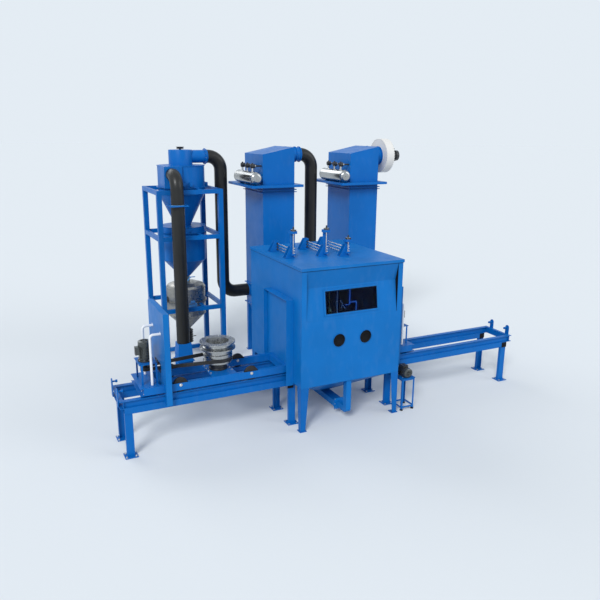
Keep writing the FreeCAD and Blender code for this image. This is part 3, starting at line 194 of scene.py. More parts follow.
def duct_skin(name, colour):
    """Rolled duct with a lacquered skin: long soft lighter and darker streaks painted into its colour as
    reflection, and a light dent here and there.
    """
    finish = Finish(name, colour, rough=0.36, specular=0.3)
    reflection_streak = finish.noise(3.2, 4.0, (1, 1, 0.25))
    # The streaks in the colour are painted reflection on the glossy duct.
    finish.link(finish.bands(reflection_streak, 0.35, 0.68, shade(colour, 0.7), shade(colour, 1.4)), "Base Color")
    finish.rough_from(finish.noise(9.0, 5.0), 0.30, 0.44)
    finish.bump(finish.noise(5.0, 1.0), 0.10, 0.003)
    return finish


def rubber(name, colour, rough=0.62, rib_axis=None, rib_pitch=0.01):
    """Black rubber with a matt bloom, ribbed along one axis where it is a belt."""
    finish = Finish(name, colour, rough=rough, specular=0.35)
    bloom = finish.noise(18.0, 6.0)
    finish.link(finish.bands(bloom, 0.35, 0.75, shade(colour, 0.8), shade(colour, 1.9)), "Base Color")
    finish.rough_from(finish.noise(60.0, 4.0), rough - 0.1, rough + 0.12)
    if rib_axis is None:
        finish.bump(finish.noise(220.0, 3.0), 0.25, 0.0008)
        return finish
    split = finish.node("ShaderNodeSeparateXYZ", {"Vector": finish.object_place})
    turns = finish.node("ShaderNodeMath", {0: split.outputs[rib_axis], 1: 2 * math.pi / rib_pitch},
                        operation="MULTIPLY")
    rib = finish.node("ShaderNodeMath", {0: turns.outputs["Value"]}, operation="SINE")
    finish.bump(rib.outputs["Value"], 0.6, 0.001)
    return finish


def window_pane(name):
    """Dark laminated glass, with a trace of abrasive dust over it."""
    finish = Finish(name, (0.22, 0.42, 0.75), rough=0.02, specular=0.2)
    finish.shader.inputs["Transmission Weight"].default_value = 1.0
    finish.shader.inputs["IOR"].default_value = 1.16
    dust = finish.noise(11.0, 6.0)
    finish.rough_from(dust, 0.01, 0.05)
    finish.link(finish.bands(dust, 0.4, 0.9, (0.20, 0.40, 0.74), (0.30, 0.48, 0.80)), "Base Color")
    return finish


def two_tone(name, low_colour, high_colour, height, rough=0.36):
    """Blue brackets below a height and black valves above it, sprayed in one go."""
    finish = Finish(name, high_colour, rough=rough)
    split = finish.node("ShaderNodeSeparateXYZ", {"Vector": finish.object_place})
    above = finish.node("ShaderNodeMath", {0: split.outputs["Z"], 1: height}, operation="GREATER_THAN")
    mottle = finish.noise(9.0, 5.0)
    below = finish.bands(mottle, 0.3, 0.7, shade(low_colour, 0.9), low_colour)
    top = finish.bands(mottle, 0.3, 0.7, shade(high_colour, 0.7), shade(high_colour, 1.3))
    mixed = finish.node("ShaderNodeMix", {0: above.outputs["Value"], 6: below, 7: top}, data_type="RGBA")
    finish.link(mixed.outputs[2], "Base Color")
    finish.rough_from(finish.noise(22.0, 4.0), rough - 0.07, rough + 0.10)
    finish.bump(finish.noise(180.0, 3.0), 0.2, 0.0006, 0.002)
    return finish


BLUE = (0.002, 0.138, 0.440)
# The deeper blue is the same paint as BLUE, darkened: painted shade, used for the vessels, the frames and the
# valve brackets.
BLUE_SHADED = (0.001, 0.116, 0.410)
SHEAVE_GREY = (0.42, 0.43, 0.43)
left_axis = at(*middle("left_turntable")[:2], 0)
right_axis = at(*middle("right_turntable")[:2], 0)

cabinet_blue = sprayed("cabinet blue enamel", BLUE)
vessel_blue = sprayed("vessel blue enamel with painted shade", shade(BLUE_SHADED, 1.04), rough=0.34)
frame_blue = sprayed("frame blue enamel", BLUE_SHADED, rough=0.36, variation=0.09, edge=0.003)
# The folded window panel takes the cabinet's blue darkened by 4%: painted shade.
fold_blue = sprayed("folded panel blue enamel", shade(BLUE, 0.96), rough=0.36)
trim_blue = sprayed("bright trim blue", (0.12, 0.38, 0.78), rough=0.3, variation=0.04, edge=0.002)
fan_cream = sprayed("cream fan enamel", (0.70, 0.69, 0.66), rough=0.45, variation=0.03)
handle_white = sprayed("white handle enamel", (0.74, 0.76, 0.78), rough=0.3, variation=0.03, edge=0.001)
motor_grey = cast_or_dark("dark motor casting", (0.075, 0.084, 0.084), 0.24, metal=0.6)
motor_black = cast_or_dark("black motor casting", (0.022, 0.024, 0.026), 0.28)
black_steel = cast_or_dark("black steel", (0.016, 0.017, 0.019), 0.36)
brass = cast_or_dark("yellow brass", (0.52, 0.36, 0.12), 0.30, 90.0, 0.1, 1.0, 0.001)
duct_black = duct_skin("brown black duct lacquer", (0.014, 0.0145, 0.014))
tyre_rubber = rubber("wheel rubber", (0.012, 0.012, 0.013))
seal_rubber = rubber("seal rubber", (0.005, 0.005, 0.006))
seal_rubber.shader.inputs["Specular IOR Level"].default_value = 0.12
belt_rubber = rubber("ribbed belt rubber", (0.013, 0.013, 0.014), 0.5, "Z", 0.0085)
sheave_left = turned_metal("left turned sheave", SHEAVE_GREY, 0.28, left_axis, 0.004)
sheave_right = turned_metal("right turned sheave", SHEAVE_GREY, 0.28, right_axis, 0.004)
ground_rod = turned_metal("ground rod steel", (0.62, 0.63, 0.64), 0.24, left_axis, 0.003)
zinc = cast_or_dark("bright zinc fastener", (0.60, 0.60, 0.58), 0.28, 90.0, 0.15, 1.0, 0.001)
stainless = polished("polished stainless", (0.40, 0.41, 0.41), 0.20)
dull_stainless = polished("brushed stainless", (0.33, 0.325, 0.305), 0.34)
pane = window_pane("dark window glass")
# The blue below the valves is the deeper blue: painted shade.
valve_black = two_tone("pulse valve paint", BLUE_SHADED, (0.018, 0.019, 0.021), middle("air_tanks").z * MM)

finish_nodes = {
    cabinet_blue: "front_wall left_wall right_wall back_wall mouth_collars roof hopper left_door_panel "
                  "right_door_panel suction_trough arm_ports",
    fold_blue: "window_panel",
    vessel_blue: "cyclone separator_hopper cyclone_head left_collector_body right_collector_body "
                 "left_collector_head right_collector_head duct_fittings gun_brackets",
    frame_blue: "track_beams track_legs track_end_stops cabinet_legs motor_stand tower_posts tower_beams "
                "left_trolley_frame right_trolley_frame",
    black_steel: "pot_valve damper_wheel",
    valve_black: "pulse_valves",
    motor_black: "stand_motor fan_motor",
    seal_rubber: "panel_seals",
    tyre_rubber: "left_outer_wheels left_inner_wheels right_outer_wheels right_inner_wheels",
    belt_rubber: "left_drive_belt right_drive_belt",
    duct_black: "inlet_duct air_ducts",
    fan_cream: "fan_housing",
    motor_grey: "left_drive_motor right_drive_motor",
    handle_white: "left_push_handles right_push_handles",
    sheave_left: "left_turntable",
    sheave_right: "right_turntable",
    ground_rod: "gun_rods gun_screw_1 gun_screw_2 gun_screw_3",
    stainless: "air_tanks",
    dull_stainless: "blast_pot pot_head",
    pane: "window_glass",
}
for finish, names in finish_nodes.items():
    for node_name in names.split():
        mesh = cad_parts[node_name].data
        mesh.materials.clear()
        mesh.materials.append(finish.material)


# Meshes.


class Work:
    """A mesh in the making: bevelled bars, turned pieces and skins, ended by done()."""

    def __init__(self):
        self.mesh = bmesh.new()

    def bar(self, low, high, bevel=1.5, turn=None):
        """Box between two corners in millimetres, edges eased, optionally moved by a matrix."""
        a = at(*low)
        b = at(*high)
        made = bmesh.ops.create_cube(self.mesh, size=1.0)["verts"]
        for v in made:
            v.co = Vector([a[i] + (b[i] - a[i]) * (v.co[i] + 0.5) for i in range(3)])
        if turn is not None:
            for v in made:
                v.co = turn @ v.co
        if bevel:
            edges = list(dict.fromkeys(e for v in made for e in v.link_edges))
            bmesh.ops.bevel(self.mesh, geom=edges, offset=bevel * MM, segments=2, profile=0.6, affect="EDGES")

    def turned(self, profile, foot, axis, steps=40):
        """Turned piece from (radius, distance) pairs in millimetres along an axis from foot."""
        heading = Vector(axis).normalized()
        side = heading.orthogonal().normalized()
        across = heading.cross(side)
        rings = []
        for radius, reach in profile:
            centre = foot + heading * reach * MM
            if radius < 1e-6:
                rings.append([self.mesh.verts.new(centre)])
                continue
            ring = []
            for i in range(steps):
                angle = 2 * math.pi * i / steps
                way = side * math.cos(angle) + across * math.sin(angle)
                ring.append(self.mesh.verts.new(centre + way * radius * MM))
            rings.append(ring)
        for low, high in zip(rings, rings[1:]):
            for i in range(steps):
                j = (i + 1) % steps
                corners = [low[i % len(low)], low[j % len(low)], high[j % len(high)], high[i % len(high)]]
                self.face(corners)
        for ring in (rings[0], rings[-1]):
            if len(ring) > 1 and profile[0] != profile[-1]:
                self.face(ring)

    def face(self, corners):
        """Face through corners, with repeated ones dropped."""
        unique = list(dict.fromkeys(corners))
        if len(unique) > 2:
            self.mesh.faces.new(unique)

    def skin(self, rings):
        """Walls between one ring of points and the next."""
        for low, high in zip(rings, rings[1:]):
            for i in range(len(low)):
                j = (i + 1) % len(low)
                self.face([low[i], low[j], high[j], high[i]])

    def seam(self, radius, foot, axis, shoulder=2.0, crown=3.0, steps=72):
        """Weld bead round a vessel."""
        self.turned([(radius - 1, 0), (radius + shoulder, 1), (radius + crown, 4), (radius + shoulder, 7),
                     (radius - 1, 8), (radius - 1, 0)], foot, axis, steps)

    def done(self, name, finish, body, smooth=40):
        """Object from the mesh, with one finish, riding on one CAD body."""
        bmesh.ops.remove_doubles(self.mesh, verts=self.mesh.verts, dist=1e-6)
        bmesh.ops.recalc_face_normals(self.mesh, faces=self.mesh.faces)
        for edge in self.mesh.edges:
            edge.smooth = len(edge.link_faces) == 2 and edge.calc_face_angle() < math.radians(smooth)
        for face in self.mesh.faces:
            face.smooth = True
        data = bpy.data.meshes.new(name)
        self.mesh.to_mesh(data)
        self.mesh.free()
        data.materials.append(finish.material)
        piece = bpy.data.objects.new(name.replace(" ", "_"), data)
        bpy.context.scene.collection.objects.link(piece)
        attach(piece, body)
        return piece


# Repeated pieces, by Geometry Nodes.


def open_tree(name, sizes):
    """New tree with named inputs; returns it with its nodes and the inputs' identifiers."""
    tree = bpy.data.node_groups.new(name, "GeometryNodeTree")
    face = tree.interface
    face.new_socket("Geometry", in_out="INPUT", socket_type="NodeSocketGeometry")
    found = {}
    for label, (kind, value) in sizes.items():
        socket = face.new_socket(label, in_out="INPUT", socket_type="NodeSocket" + kind)
        if value is not None:
            socket.default_value = value
        found[label] = socket.identifier
    metal = face.new_socket("Metal", in_out="INPUT", socket_type="NodeSocketMaterial")
    found["Metal"] = metal.identifier
    face.new_socket("Geometry", in_out="OUTPUT", socket_type="NodeSocketGeometry")
    return tree, tree.nodes.new("NodeGroupInput"), found


def close_tree(tree, given, shape):
    """Stands a shape on each point by its turn attribute, then realizes and paints it."""
    new = tree.nodes.new
    link = tree.links.new
    turn = new("GeometryNodeInputNamedAttribute")
    turn.data_type = "FLOAT_VECTOR"
    turn.inputs["Name"].default_value = "turn"
    rotation = new("FunctionNodeEulerToRotation")
    link(turn.outputs["Attribute"], rotation.inputs["Euler"])
    place = new("GeometryNodeInstanceOnPoints")
    link(given.outputs["Geometry"], place.inputs["Points"])
    link(shape, place.inputs["Instance"])
    link(rotation.outputs["Rotation"], place.inputs["Rotation"])
    real = new("GeometryNodeRealizeInstances")
    link(place.outputs["Instances"], real.inputs["Geometry"])
    paint = new("GeometryNodeSetMaterial")
    link(real.outputs["Geometry"], paint.inputs["Geometry"])
    link(given.outputs["Metal"], paint.inputs["Material"])
    result = new("NodeGroupOutput")
    link(paint.outputs["Geometry"], result.inputs["Geometry"])


def standing(tree, mesh, height, foot=None):
    """Moves a centred mesh so that it stands on its seat, or on a given height."""
    new = tree.nodes.new
    link = tree.links.new
    half = new("ShaderNodeMath")
    half.operation = "MULTIPLY"
    half.inputs[1].default_value = 0.5
    link(height, half.inputs[0])
    rise = half.outputs["Value"]
    if foot is not None:
        add = new("ShaderNodeMath")
        link(rise, add.inputs[0])
        link(foot, add.inputs[1])
        rise = add.outputs["Value"]
    lift = new("ShaderNodeCombineXYZ")
    link(rise, lift.inputs["Z"])
    moved = new("GeometryNodeTransform")
    link(mesh, moved.inputs["Geometry"])
    link(lift.outputs["Vector"], moved.inputs["Translation"])
    return moved.outputs["Geometry"]


def fastener_tree():
    """A many-sided head on a round washer."""
    tree, given, found = open_tree("fastener on each point", {
        "Head radius": ("Float", 0.009), "Head height": ("Float", 0.007),
        "Washer radius": ("Float", 0.013), "Washer height": ("Float", 0.002), "Head sides": ("Int", 6)})
    link = tree.links.new
    head = tree.nodes.new("GeometryNodeMeshCylinder")
    washer = tree.nodes.new("GeometryNodeMeshCylinder")
    washer.inputs["Vertices"].default_value = 14
    link(given.outputs["Head sides"], head.inputs["Vertices"])
    link(given.outputs["Head radius"], head.inputs["Radius"])
    link(given.outputs["Head height"], head.inputs["Depth"])
    link(given.outputs["Washer radius"], washer.inputs["Radius"])
    link(given.outputs["Washer height"], washer.inputs["Depth"])
    both = tree.nodes.new("GeometryNodeJoinGeometry")
    link(standing(tree, head.outputs["Mesh"], given.outputs["Head height"],
                  given.outputs["Washer height"]), both.inputs["Geometry"])
    link(standing(tree, washer.outputs["Mesh"], given.outputs["Washer height"]), both.inputs["Geometry"])
    close_tree(tree, given, both.outputs["Geometry"])
    return tree, found


def fin_tree():
    """A flat bar standing on each point: length along its X, thickness Y, height Z."""
    tree, given, found = open_tree("fin on each point", {
        "Length": ("Float", 0.2), "Thickness": ("Float", 0.003), "Height": ("Float", 0.012)})
    link = tree.links.new
    size = tree.nodes.new("ShaderNodeCombineXYZ")
    link(given.outputs["Length"], size.inputs["X"])
    link(given.outputs["Thickness"], size.inputs["Y"])
    link(given.outputs["Height"], size.inputs["Z"])
    cube = tree.nodes.new("GeometryNodeMeshCube")
    link(size.outputs["Vector"], cube.inputs["Size"])
    close_tree(tree, given, standing(tree, cube.outputs["Mesh"], given.outputs["Height"]))
    return tree, found


def bead_tree():
    """A weld's ripple: a small round bead on each point, its size varied by a fixed seed."""
    tree, given, found = open_tree("weld bead on each point", {
        "Bead radius": ("Float", 0.005), "Seed": ("Int", 7)})
    link = tree.links.new
    ball = tree.nodes.new("GeometryNodeMeshIcoSphere")
    ball.inputs["Subdivisions"].default_value = 1
    link(given.outputs["Bead radius"], ball.inputs["Radius"])
    random = tree.nodes.new("FunctionNodeRandomValue")
    random.data_type = "FLOAT"
    random.inputs[2].default_value = 0.85
    random.inputs[3].default_value = 1.15
    link(given.outputs["Seed"], random.inputs["Seed"])
    close_tree(tree, given, ball.outputs["Mesh"])
    stand = next(n for n in tree.nodes if n.bl_idname == "GeometryNodeInstanceOnPoints")
    link(random.outputs[1], stand.inputs["Scale"])
    return tree, found


fastener = fastener_tree()
fin = fin_tree()
bead = bead_tree()


def facing(out, along=None):
    """Turn whose Z points out of the surface, and whose X lies nearest to a given way."""
    up = Vector(out).normalized()
    way = Vector(along) if along is not None else up.orthogonal()
    side = (way - up * up.dot(way)).normalized()
    return Matrix((side, up.cross(side), up)).transposed().to_euler()


def grown(points, name, body, kind, settings):
    """Plain mesh grown by a tree on (place, turn) pairs, riding on one body."""
    tree, inputs = kind
    data = bpy.data.meshes.new(name)
    data.from_pydata([place for place, _ in points], [], [])
    turns = data.attributes.new("turn", "FLOAT_VECTOR", "POINT")
    for i, (_, turn) in enumerate(points):
        turns.data[i].vector = Vector(turn)
    seed = bpy.data.objects.new(name + " places", data)
    bpy.context.scene.collection.objects.link(seed)
    modifier = seed.modifiers.new("grow", "NODES")
    modifier.node_group = tree
    for label, value in settings.items():
        modifier[inputs[label]] = value
    bpy.context.view_layer.update()
    ready = seed.evaluated_get(bpy.context.evaluated_depsgraph_get())
    mesh = bpy.data.meshes.new_from_object(ready)
    if "turn" in mesh.attributes:
        mesh.attributes.remove(mesh.attributes["turn"])
    bpy.data.objects.remove(seed)
    bpy.data.meshes.remove(data)
    piece = bpy.data.objects.new(name.replace(" ", "_"), mesh)
    bpy.context.scene.collection.objects.link(piece)
    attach(piece, body)
    return piece


def hex_bolts(name, points, body, head=9.0, finish=None, height=None, washer=None, sides=6):
    """Heads on washers at (place, outward way) pairs; sizes in millimetres."""
    grown([(place, facing(out)) for place, out in points], name, body, fastener, {
        "Head radius": head * MM, "Head height": (height or head * 0.75) * MM,
        "Washer radius": (washer or head * 1.45) * MM, "Washer height": head * 0.22 * MM,
        "Head sides": sides, "Metal": (finish or zinc).material})


def fins(name, points, body, length, thick, height, finish):
    """Flat bars at (place, outward way, long way) triples; sizes in millimetres."""
    grown([(place, facing(out, along)) for place, out, along in points], name, body, fin, {
        "Length": length * MM, "Thickness": thick * MM, "Height": height * MM, "Metal": finish.material})


def welds(name, runs, body, finish, radius=4.0):
    """Rippled weld beads along (start, end) runs; radius in millimetres."""
    points = []
    for start, end in runs:
        count = max(2, round((end - start).length / (radius * 1.5 * MM)))
        points += [(p, (0.0, 0.0, 0.0)) for p in row(start, end, count)]
    grown(points, name, body, bead, {"Bead radius": radius * MM, "Seed": 7, "Metal": finish.material})


def row(start, end, count):
    """Evenly spaced points from start to end."""
    return [start.lerp(end, i / (count - 1)) for i in range(count)]


def circle(centre, axis, radius, count, start=0.0):
    """Points round a circle in metres about an axis, radius in millimetres."""
    heading = Vector(axis).normalized()
    side = heading.orthogonal().normalized()
    return [centre + Matrix.Rotation(start + 2 * math.pi * i / count, 3, heading) @ side * radius * MM
            for i in range(count)]


UP = (0, 0, 1)
DOWN = (0, 0, -1)
FRONT = (0, -1, 0)
BACK = (0, 1, 0)
LEFT = (-1, 0, 0)
RIGHT = (1, 0, 0)


# Cabinet.

wall_low, wall_high = span("front_wall")
cabinet_width = wall_high.x
cabinet_back = span("back_wall")[1].y
cabinet_foot = wall_low.z
roof_low, roof_high = span("roof")
fold_low, fold_high = span("window_panel")
fold_foot = fold_low.z
seal_low, seal_high = span("panel_seals")
fold_line = 2050.0
fold_head = fold_high.z
fold_depth = 65.0
fold_tilt = math.atan2(fold_depth, fold_line - fold_foot)
glass_low, glass_high = span("window_glass")
port_low, port_high = span("arm_ports")


def on_fold(x, rise, proud):
    """Place on the lower leaning part of the folded panel, rise measured up its slope."""
    y = rise * math.sin(fold_tilt) - proud * math.cos(fold_tilt)
    z = fold_foot + rise * math.cos(fold_tilt) + proud * math.sin(fold_tilt)
    return at(x, y, z)


def window_details():
    """Gasket inside the window trim, and its screws."""
    rise_low = (glass_low.z - fold_foot) / math.cos(fold_tilt)
    rise_high = (glass_high.z - fold_foot) / math.cos(fold_tilt)
    left, right = glass_low.x, glass_high.x
    band = 12.0
    proud = 5.0
    work = Work()
    corners = [(left, rise_low), (right, rise_low), (right, rise_high), (left, rise_high)]
    inner = [(left + band, rise_low + band), (right - band, rise_low + band),
             (right - band, rise_high - band), (left + band, rise_high - band)]
    rings = [[work.mesh.verts.new(on_fold(x, z, p)) for x, z in ring]
             for ring, p in ((corners, 0.5), (corners, proud), (inner, proud), (inner, 0.5))]
    work.skin(rings + rings[:1])
    work.done("window gasket", seal_rubber, "plant")
    out = (on_fold(0, 0, 1) - on_fold(0, 0, 0)).normalized()
    edge = 9.0
    trim = 8.8
    places = row(on_fold(left, rise_low - edge, trim), on_fold(right, rise_low - edge, trim), 7)
    places += row(on_fold(left, rise_high + edge, trim), on_fold(right, rise_high + edge, trim), 7)
    places += [on_fold(x, (rise_low + rise_high) / 2, trim) for x in (left - edge, right + edge)]
    hex_bolts("window trim screws", [(p, out) for p in places], "plant", 4.0, fold_blue, 2.4, 5.5, 12)


def fold_edge():
    """Black rubber profile down the right end of the folded panel."""
    x = seal_high.x
    width = 9.0
    work = Work()
    rings = [[work.mesh.verts.new(at(x + dx, y + dy, z))
              for dx, dy in ((0, 0), (-width, 0), (-width, 5), (0, 5))]
             for y, z in ((-1.5, fold_foot), (fold_depth - 1.5, fold_line), (-1.5, fold_head))]
    work.skin(rings)
    work.face(rings[0])
    work.face(rings[-1])
    work.done("fold edge rubber", seal_rubber, "plant")


def arm_sleeves():
    """Pleated rubber sleeve inside each arm port, closed by a curtain of eight petals."""
    centre_z = (port_low.z + port_high.z) / 2
    ring_radius = 122.0
    port_radius = 94.0
    for side, x in (("left", port_low.x + ring_radius), ("right", port_high.x - ring_radius)):
        work = Work()
        profile = [(port_radius - 0.5, 4.0)]
        pleats = 7
        for i in range(pleats * 4 + 1):
            share = i / (pleats * 4)
            pleat = 7.0 * math.sin(2 * math.pi * pleats * share)
            profile.append((port_radius - 7.5 - 26.0 * share + pleat * (1 - 0.3 * share), 10 + 165 * share))
        back = [(r - 3.0, reach) for r, reach in reversed(profile)]
        work.turned(profile + back + [profile[0]], at(x, 0, centre_z), BACK, 48)
        centre = at(x, 0, centre_z)
        for i in range(8):
            turn = (Matrix.Translation(centre) @ Matrix.Rotation(math.radians(45 * i + 11), 4, "Y")
                    @ Matrix.Rotation(math.radians(7), 4, "X") @ Matrix.Translation(-centre))
            depth = 30 + 2 * (i % 2)
            work.bar((x - 42, depth, centre_z - 6), (x + 42, depth + 3, centre_z + 90), 0.8, turn)
        work.done("%s arm sleeve" % side, seal_rubber, "plant", 70)


window_details()
fold_edge()
arm_sleeves()


def blasting_room():
    """What shows through the window: hanging rod, hose post with its arm, hand gun and separator cup."""
    y = 150.0
    foot = 1604.0
    top = roof_low.z + 30
    height = top - foot
    rod_x, cup_x = 622, 500
    work = Work()
    work.turned([(0, 0), (5, 0), (5, 12), (4, 14), (4, height), (0, height)], at(rod_x, y, foot), UP, 20)
    work.turned([(4, 0), (11, 0), (11, 12), (4, 12)], at(rod_x, y, 1790), UP, 24)
    work.done("hanging rod", handle_white, "plant", 35)
    work = Work()
    for x0, x1, half, z0, z1 in ((811, 829, 9, 1758, top), (811, 938, 8, 1758, 1774),
                                 (922, 938, 8, 1560, 1774), (750, 829, 8, 1728, 1742),
                                 (811, 829, 8, 1728, 1770), (480, 850, 22, top - 60, top - 52)):
        work.bar((x0, y - half, z0), (x1, y + half, z1), 2.0)
    work.done("hose post and arm", trim_blue, "plant")
    work = Work()
    heading = Vector((84, 0, -140))
    work.turned([(0, 0), (8, 0), (10, 10), (10, 70), (7, 84), (7, 128), (11, 134), (11, 158), (0, 158)],
                at(668, y, 1814), heading, 24)
    work.turned([(0, 0), (8, 0), (8, 60), (5, 66), (0, 66)], at(706, y, 1742), Vector((-0.4, 0, -1)), 20)
    work.done("hand gun", ground_rod, "plant", 35)
    work = Work()
    work.turned([(0, 0), (14, 0), (18, 6), (30, 30), (32, 44), (32, 90), (26, 100), (12, 106), (9, 116),
                 (9, 130), (3, 132), (3, height), (0, height)], at(cup_x, y, foot), UP, 32)
    work.done("separator cup", brass, "plant", 35)


blasting_room()


def roof_shadow_strip():
    """Black strip under the roof's rim: painted shadow, a dark line where the rim's shade falls."""
    work = Work()
    for low, high in (((2, -6), (cabinet_width - 2, -0.5)), ((-6, 2), (-0.5, cabinet_back - 2)),
                      ((cabinet_width + 0.5, 2), (cabinet_width + 6, cabinet_back - 2)),
                      ((2, cabinet_back + 0.5), (cabinet_width - 2, cabinet_back + 6))):
        work.bar((*low, roof_low.z - 7), (*high, roof_low.z + 4), 1.0)
    work.done("roof rim painted shadow line", seal_rubber, "plant")


roof_shadow_strip()


# Anchor bolts.

leg_low, leg_high = span("track_legs")
beam_low, beam_high = span("track_beams")
plate_size = 165.0
plate_top = 12.0
anchor_reach = 60.0
foot_top = 8.0


def anchor_bolts():
    """Anchor nuts on the track posts' plates, and on the cabinet's, tower's and collectors' feet."""
    def corners(low, high, inset, z):
        return [(at(x, y, z), UP) for x in (low.x + inset, high.x - inset)
                for y in (low.y + inset, high.y - inset)]

    reach = Vector((anchor_reach, anchor_reach))
    points = []
    for x in (leg_low.x + plate_size / 2, 15.0, 1650.0, leg_high.x - plate_size / 2):
        for y in (leg_low.y + plate_size / 2, leg_high.y - plate_size / 2):
            post = Vector((x, y))
            points += corners(post - reach, post + reach, 0.0, plate_top)
    hex_bolts("track anchor nuts", points, "plant", 11.0, zinc, 10.0)
    hex_bolts("tower anchor nuts", corners(*span("tower_posts"), 10.0, foot_top), "plant", 6.0, zinc, 7.0)
    points = corners(Vector((0, 0)), Vector((cabinet_width, cabinet_back)), 43.0, foot_top)
    for name in ("left", "right"):
        points += corners(*span(name + "_collector_body"), 22.0, foot_top)
    hex_bolts("foot anchor nuts", points, "plant", 8.0, zinc, 8.0)


anchor_bolts()


def track_details():
    """Black rubber blocks at the right posts and a black pad at the left leg, set where the beam ends and leg
    tops show only dark shade: painted shade; and the bolts of trough and track ends.
    """
    # Black blocks standing in for the dark shade at the beam ends and leg tops: painted shade.
    work = Work()
    for y in (beam_low.y, beam_high.y - 70):
        work.bar((leg_high.x - plate_size / 2 - 46, y - 4, 592), (3999, y + 74, 676.5), 2.0)
    work.bar((-57, beam_low.y - 3, 556), (29, beam_low.y + 12, 599), 2.0)
    work.bar((-57, beam_low.y - 3, 598), (29, beam_low.y + 0.5, 606), 1.0)
    work.done("track painted shade blocks", seal_rubber, "plant")
    trough_x, trough_z = 775.0, 181.5
    points = []
    for y, out in ((290.0, FRONT), (span("suction_trough")[1].y, BACK)):
        points += [(at(trough_x + dx, y, trough_z + dz), out) for dx in (-70, 70) for dz in (-74, 0, 74)]
        if out == BACK:
            points += [(at(trough_x, y, trough_z + dz), out) for dz in (-74, 74)]
    hex_bolts("trough plate bolts", points, "plant", 5.0, zinc, 4.0)
    points = [(at(x, y, z), out) for x, out in ((beam_low.x, LEFT), (beam_high.x, RIGHT))
              for z in (692, 762) for y in (340, 395, 615, 835, 890)]
    hex_bolts("track end bolts", points, "plant", 5.0, handle_white, 3.0)


track_details()


# Trolleys.

sides = ("left", "right")
trolley_top = 903.0
trolley_beam = 60.0


def wheel_bolts(side):
    """Axle bolts and nuts on each trolley beam, and the small bolts of the end channel."""
    frame_low, frame_high = span(side + "_trolley_frame")
    heads = []
    nuts = []
    for which in ("outer", "inner"):
        axle = middle("%s_%s_wheels" % (side, which))
        for y in (frame_low.y, frame_high.y - trolley_beam):
            heads.append((at(axle.x, y, axle.z), FRONT))
            nuts.append((at(axle.x, y + trolley_beam, axle.z), BACK))
    out = -1 if side == "left" else 1
    web = (frame_low.x if side == "left" else frame_high.x) - out * 46.0
    dots = [(at(web, y, z), (out, 0, 0)) for z in (818, 888)
            for y in (frame_low.y + 30, frame_low.y + 150, (frame_low.y + frame_high.y) / 2,
                      frame_high.y - 150, frame_high.y - 30)]
    hex_bolts(side + " end channel bolts", dots, side + "_trolley", 5.0, handle_white, 3.0)
    hex_bolts(side + " axle bolts", heads, side + "_trolley", 14.0, zinc, 10.0, 21.0)
    hex_bolts(side + " axle nuts", nuts, side + "_trolley", 13.0, zinc, 9.0, 19.0)


def turntable_details(side):
    """Black bearing housing under the sheave, its bolts, the hub cap, and the web and flange bolts."""
    low, high = span(side + "_turntable")
    x, y, _ = middle(side + "_turntable")
    foot = low.z
    sheave_foot = foot + 100
    work = Work()
    work.turned([(107.5, 1), (128, 1), (128, 20), (123, 26), (116, 28), (116, 84), (112, 92), (107.5, 92),
                 (107.5, 1)], at(x, y, foot), UP, 56)
    work.done(side + " bearing housing", black_steel, side + "_trolley", 30)
    hex_bolts(side + " bearing bolts", [(at(x + dx, y + dy, foot - 0.3), UP)
                                        for dx in (-150, 150) for dy in (-150, -50, 50, 150)],
              side + "_trolley", 9.0, zinc, 8.0)
    web = at(x, y, sheave_foot + 185)
    hex_bolts(side + " web bolts", [(p, UP) for p in circle(web, UP, 105, 6, math.radians(30))],
              side + "_turntable", 11.0, black_steel, 12.0)
    work = Work()
    work.turned([(0, 36), (14, 35), (24, 30), (29, 18), (30, 6), (46, 6), (50, 2), (50, -4), (30.5, -4),
                 (0, -4)], at(x, y, sheave_foot + 215), UP, 36)
    work.done(side + " hub cap", black_steel, side + "_turntable", 30)
    rim = at(x, y, high.z)
    hex_bolts(side + " flange bolts", [(p, UP) for p in circle(rim, UP, 215, 8, math.radians(22))],
              side + "_turntable", 7.0, zinc, 4.0, 9.0)


def dress_motor(name, body, foot, axis, radius, length, finish, start, end, lid):
    """Cooling fins round a motor, its end bell, fan cowl and grille, and the screws of the terminal box lid.
    """
    heading = Vector(axis)
    lid_place, lid_out = lid
    centre = foot + heading * (start + end) / 2 * MM
    around = []
    for place in circle(centre, axis, radius - 3.0, 28):
        out = (place - centre).normalized()
        if abs(out.dot(Vector(lid_out))) < 0.86:
            around.append((place, out, heading))
    fins(name + " fins", around, body, end - start, 3.2, 14.0, finish)
    work = Work()
    r = radius
    work.turned([(r + 0.4, start - 16), (r + 9, start - 14), (r + 10, start - 2), (r + 0.4, start),
                 (r + 0.4, start - 16)], foot, axis, 40)
    work.turned([(r + 0.4, end), (r + 11, end), (r + 11.5, end + 6), (r + 8, length - 2), (r - 8, length + 6),
                 (r * 0.62, length + 7), (r * 0.62, length + 3), (r * 0.2, length + 3),
                 (r * 0.2, length + 8), (0, length + 8)], foot, axis, 40)
    work.done(name + " end bell and cowl", finish, body, 35)
    face = foot + heading * (length + 3) * MM
    grille = [(place, heading, (place - face).normalized())
              for place in circle(face, axis, radius * 0.42, 14)]
    fins(name + " cowl grille", grille, body, radius * 0.44, 3.0, 5.0, finish)
    across = heading.cross(Vector(lid_out))
    hex_bolts(name + " lid screws", [(lid_place + (heading * a + across * b) * MM, lid_out)
                                     for a in (-22, 22) for b in (-20, 20)], body, 3.6, zinc, 2.5, 5.0)


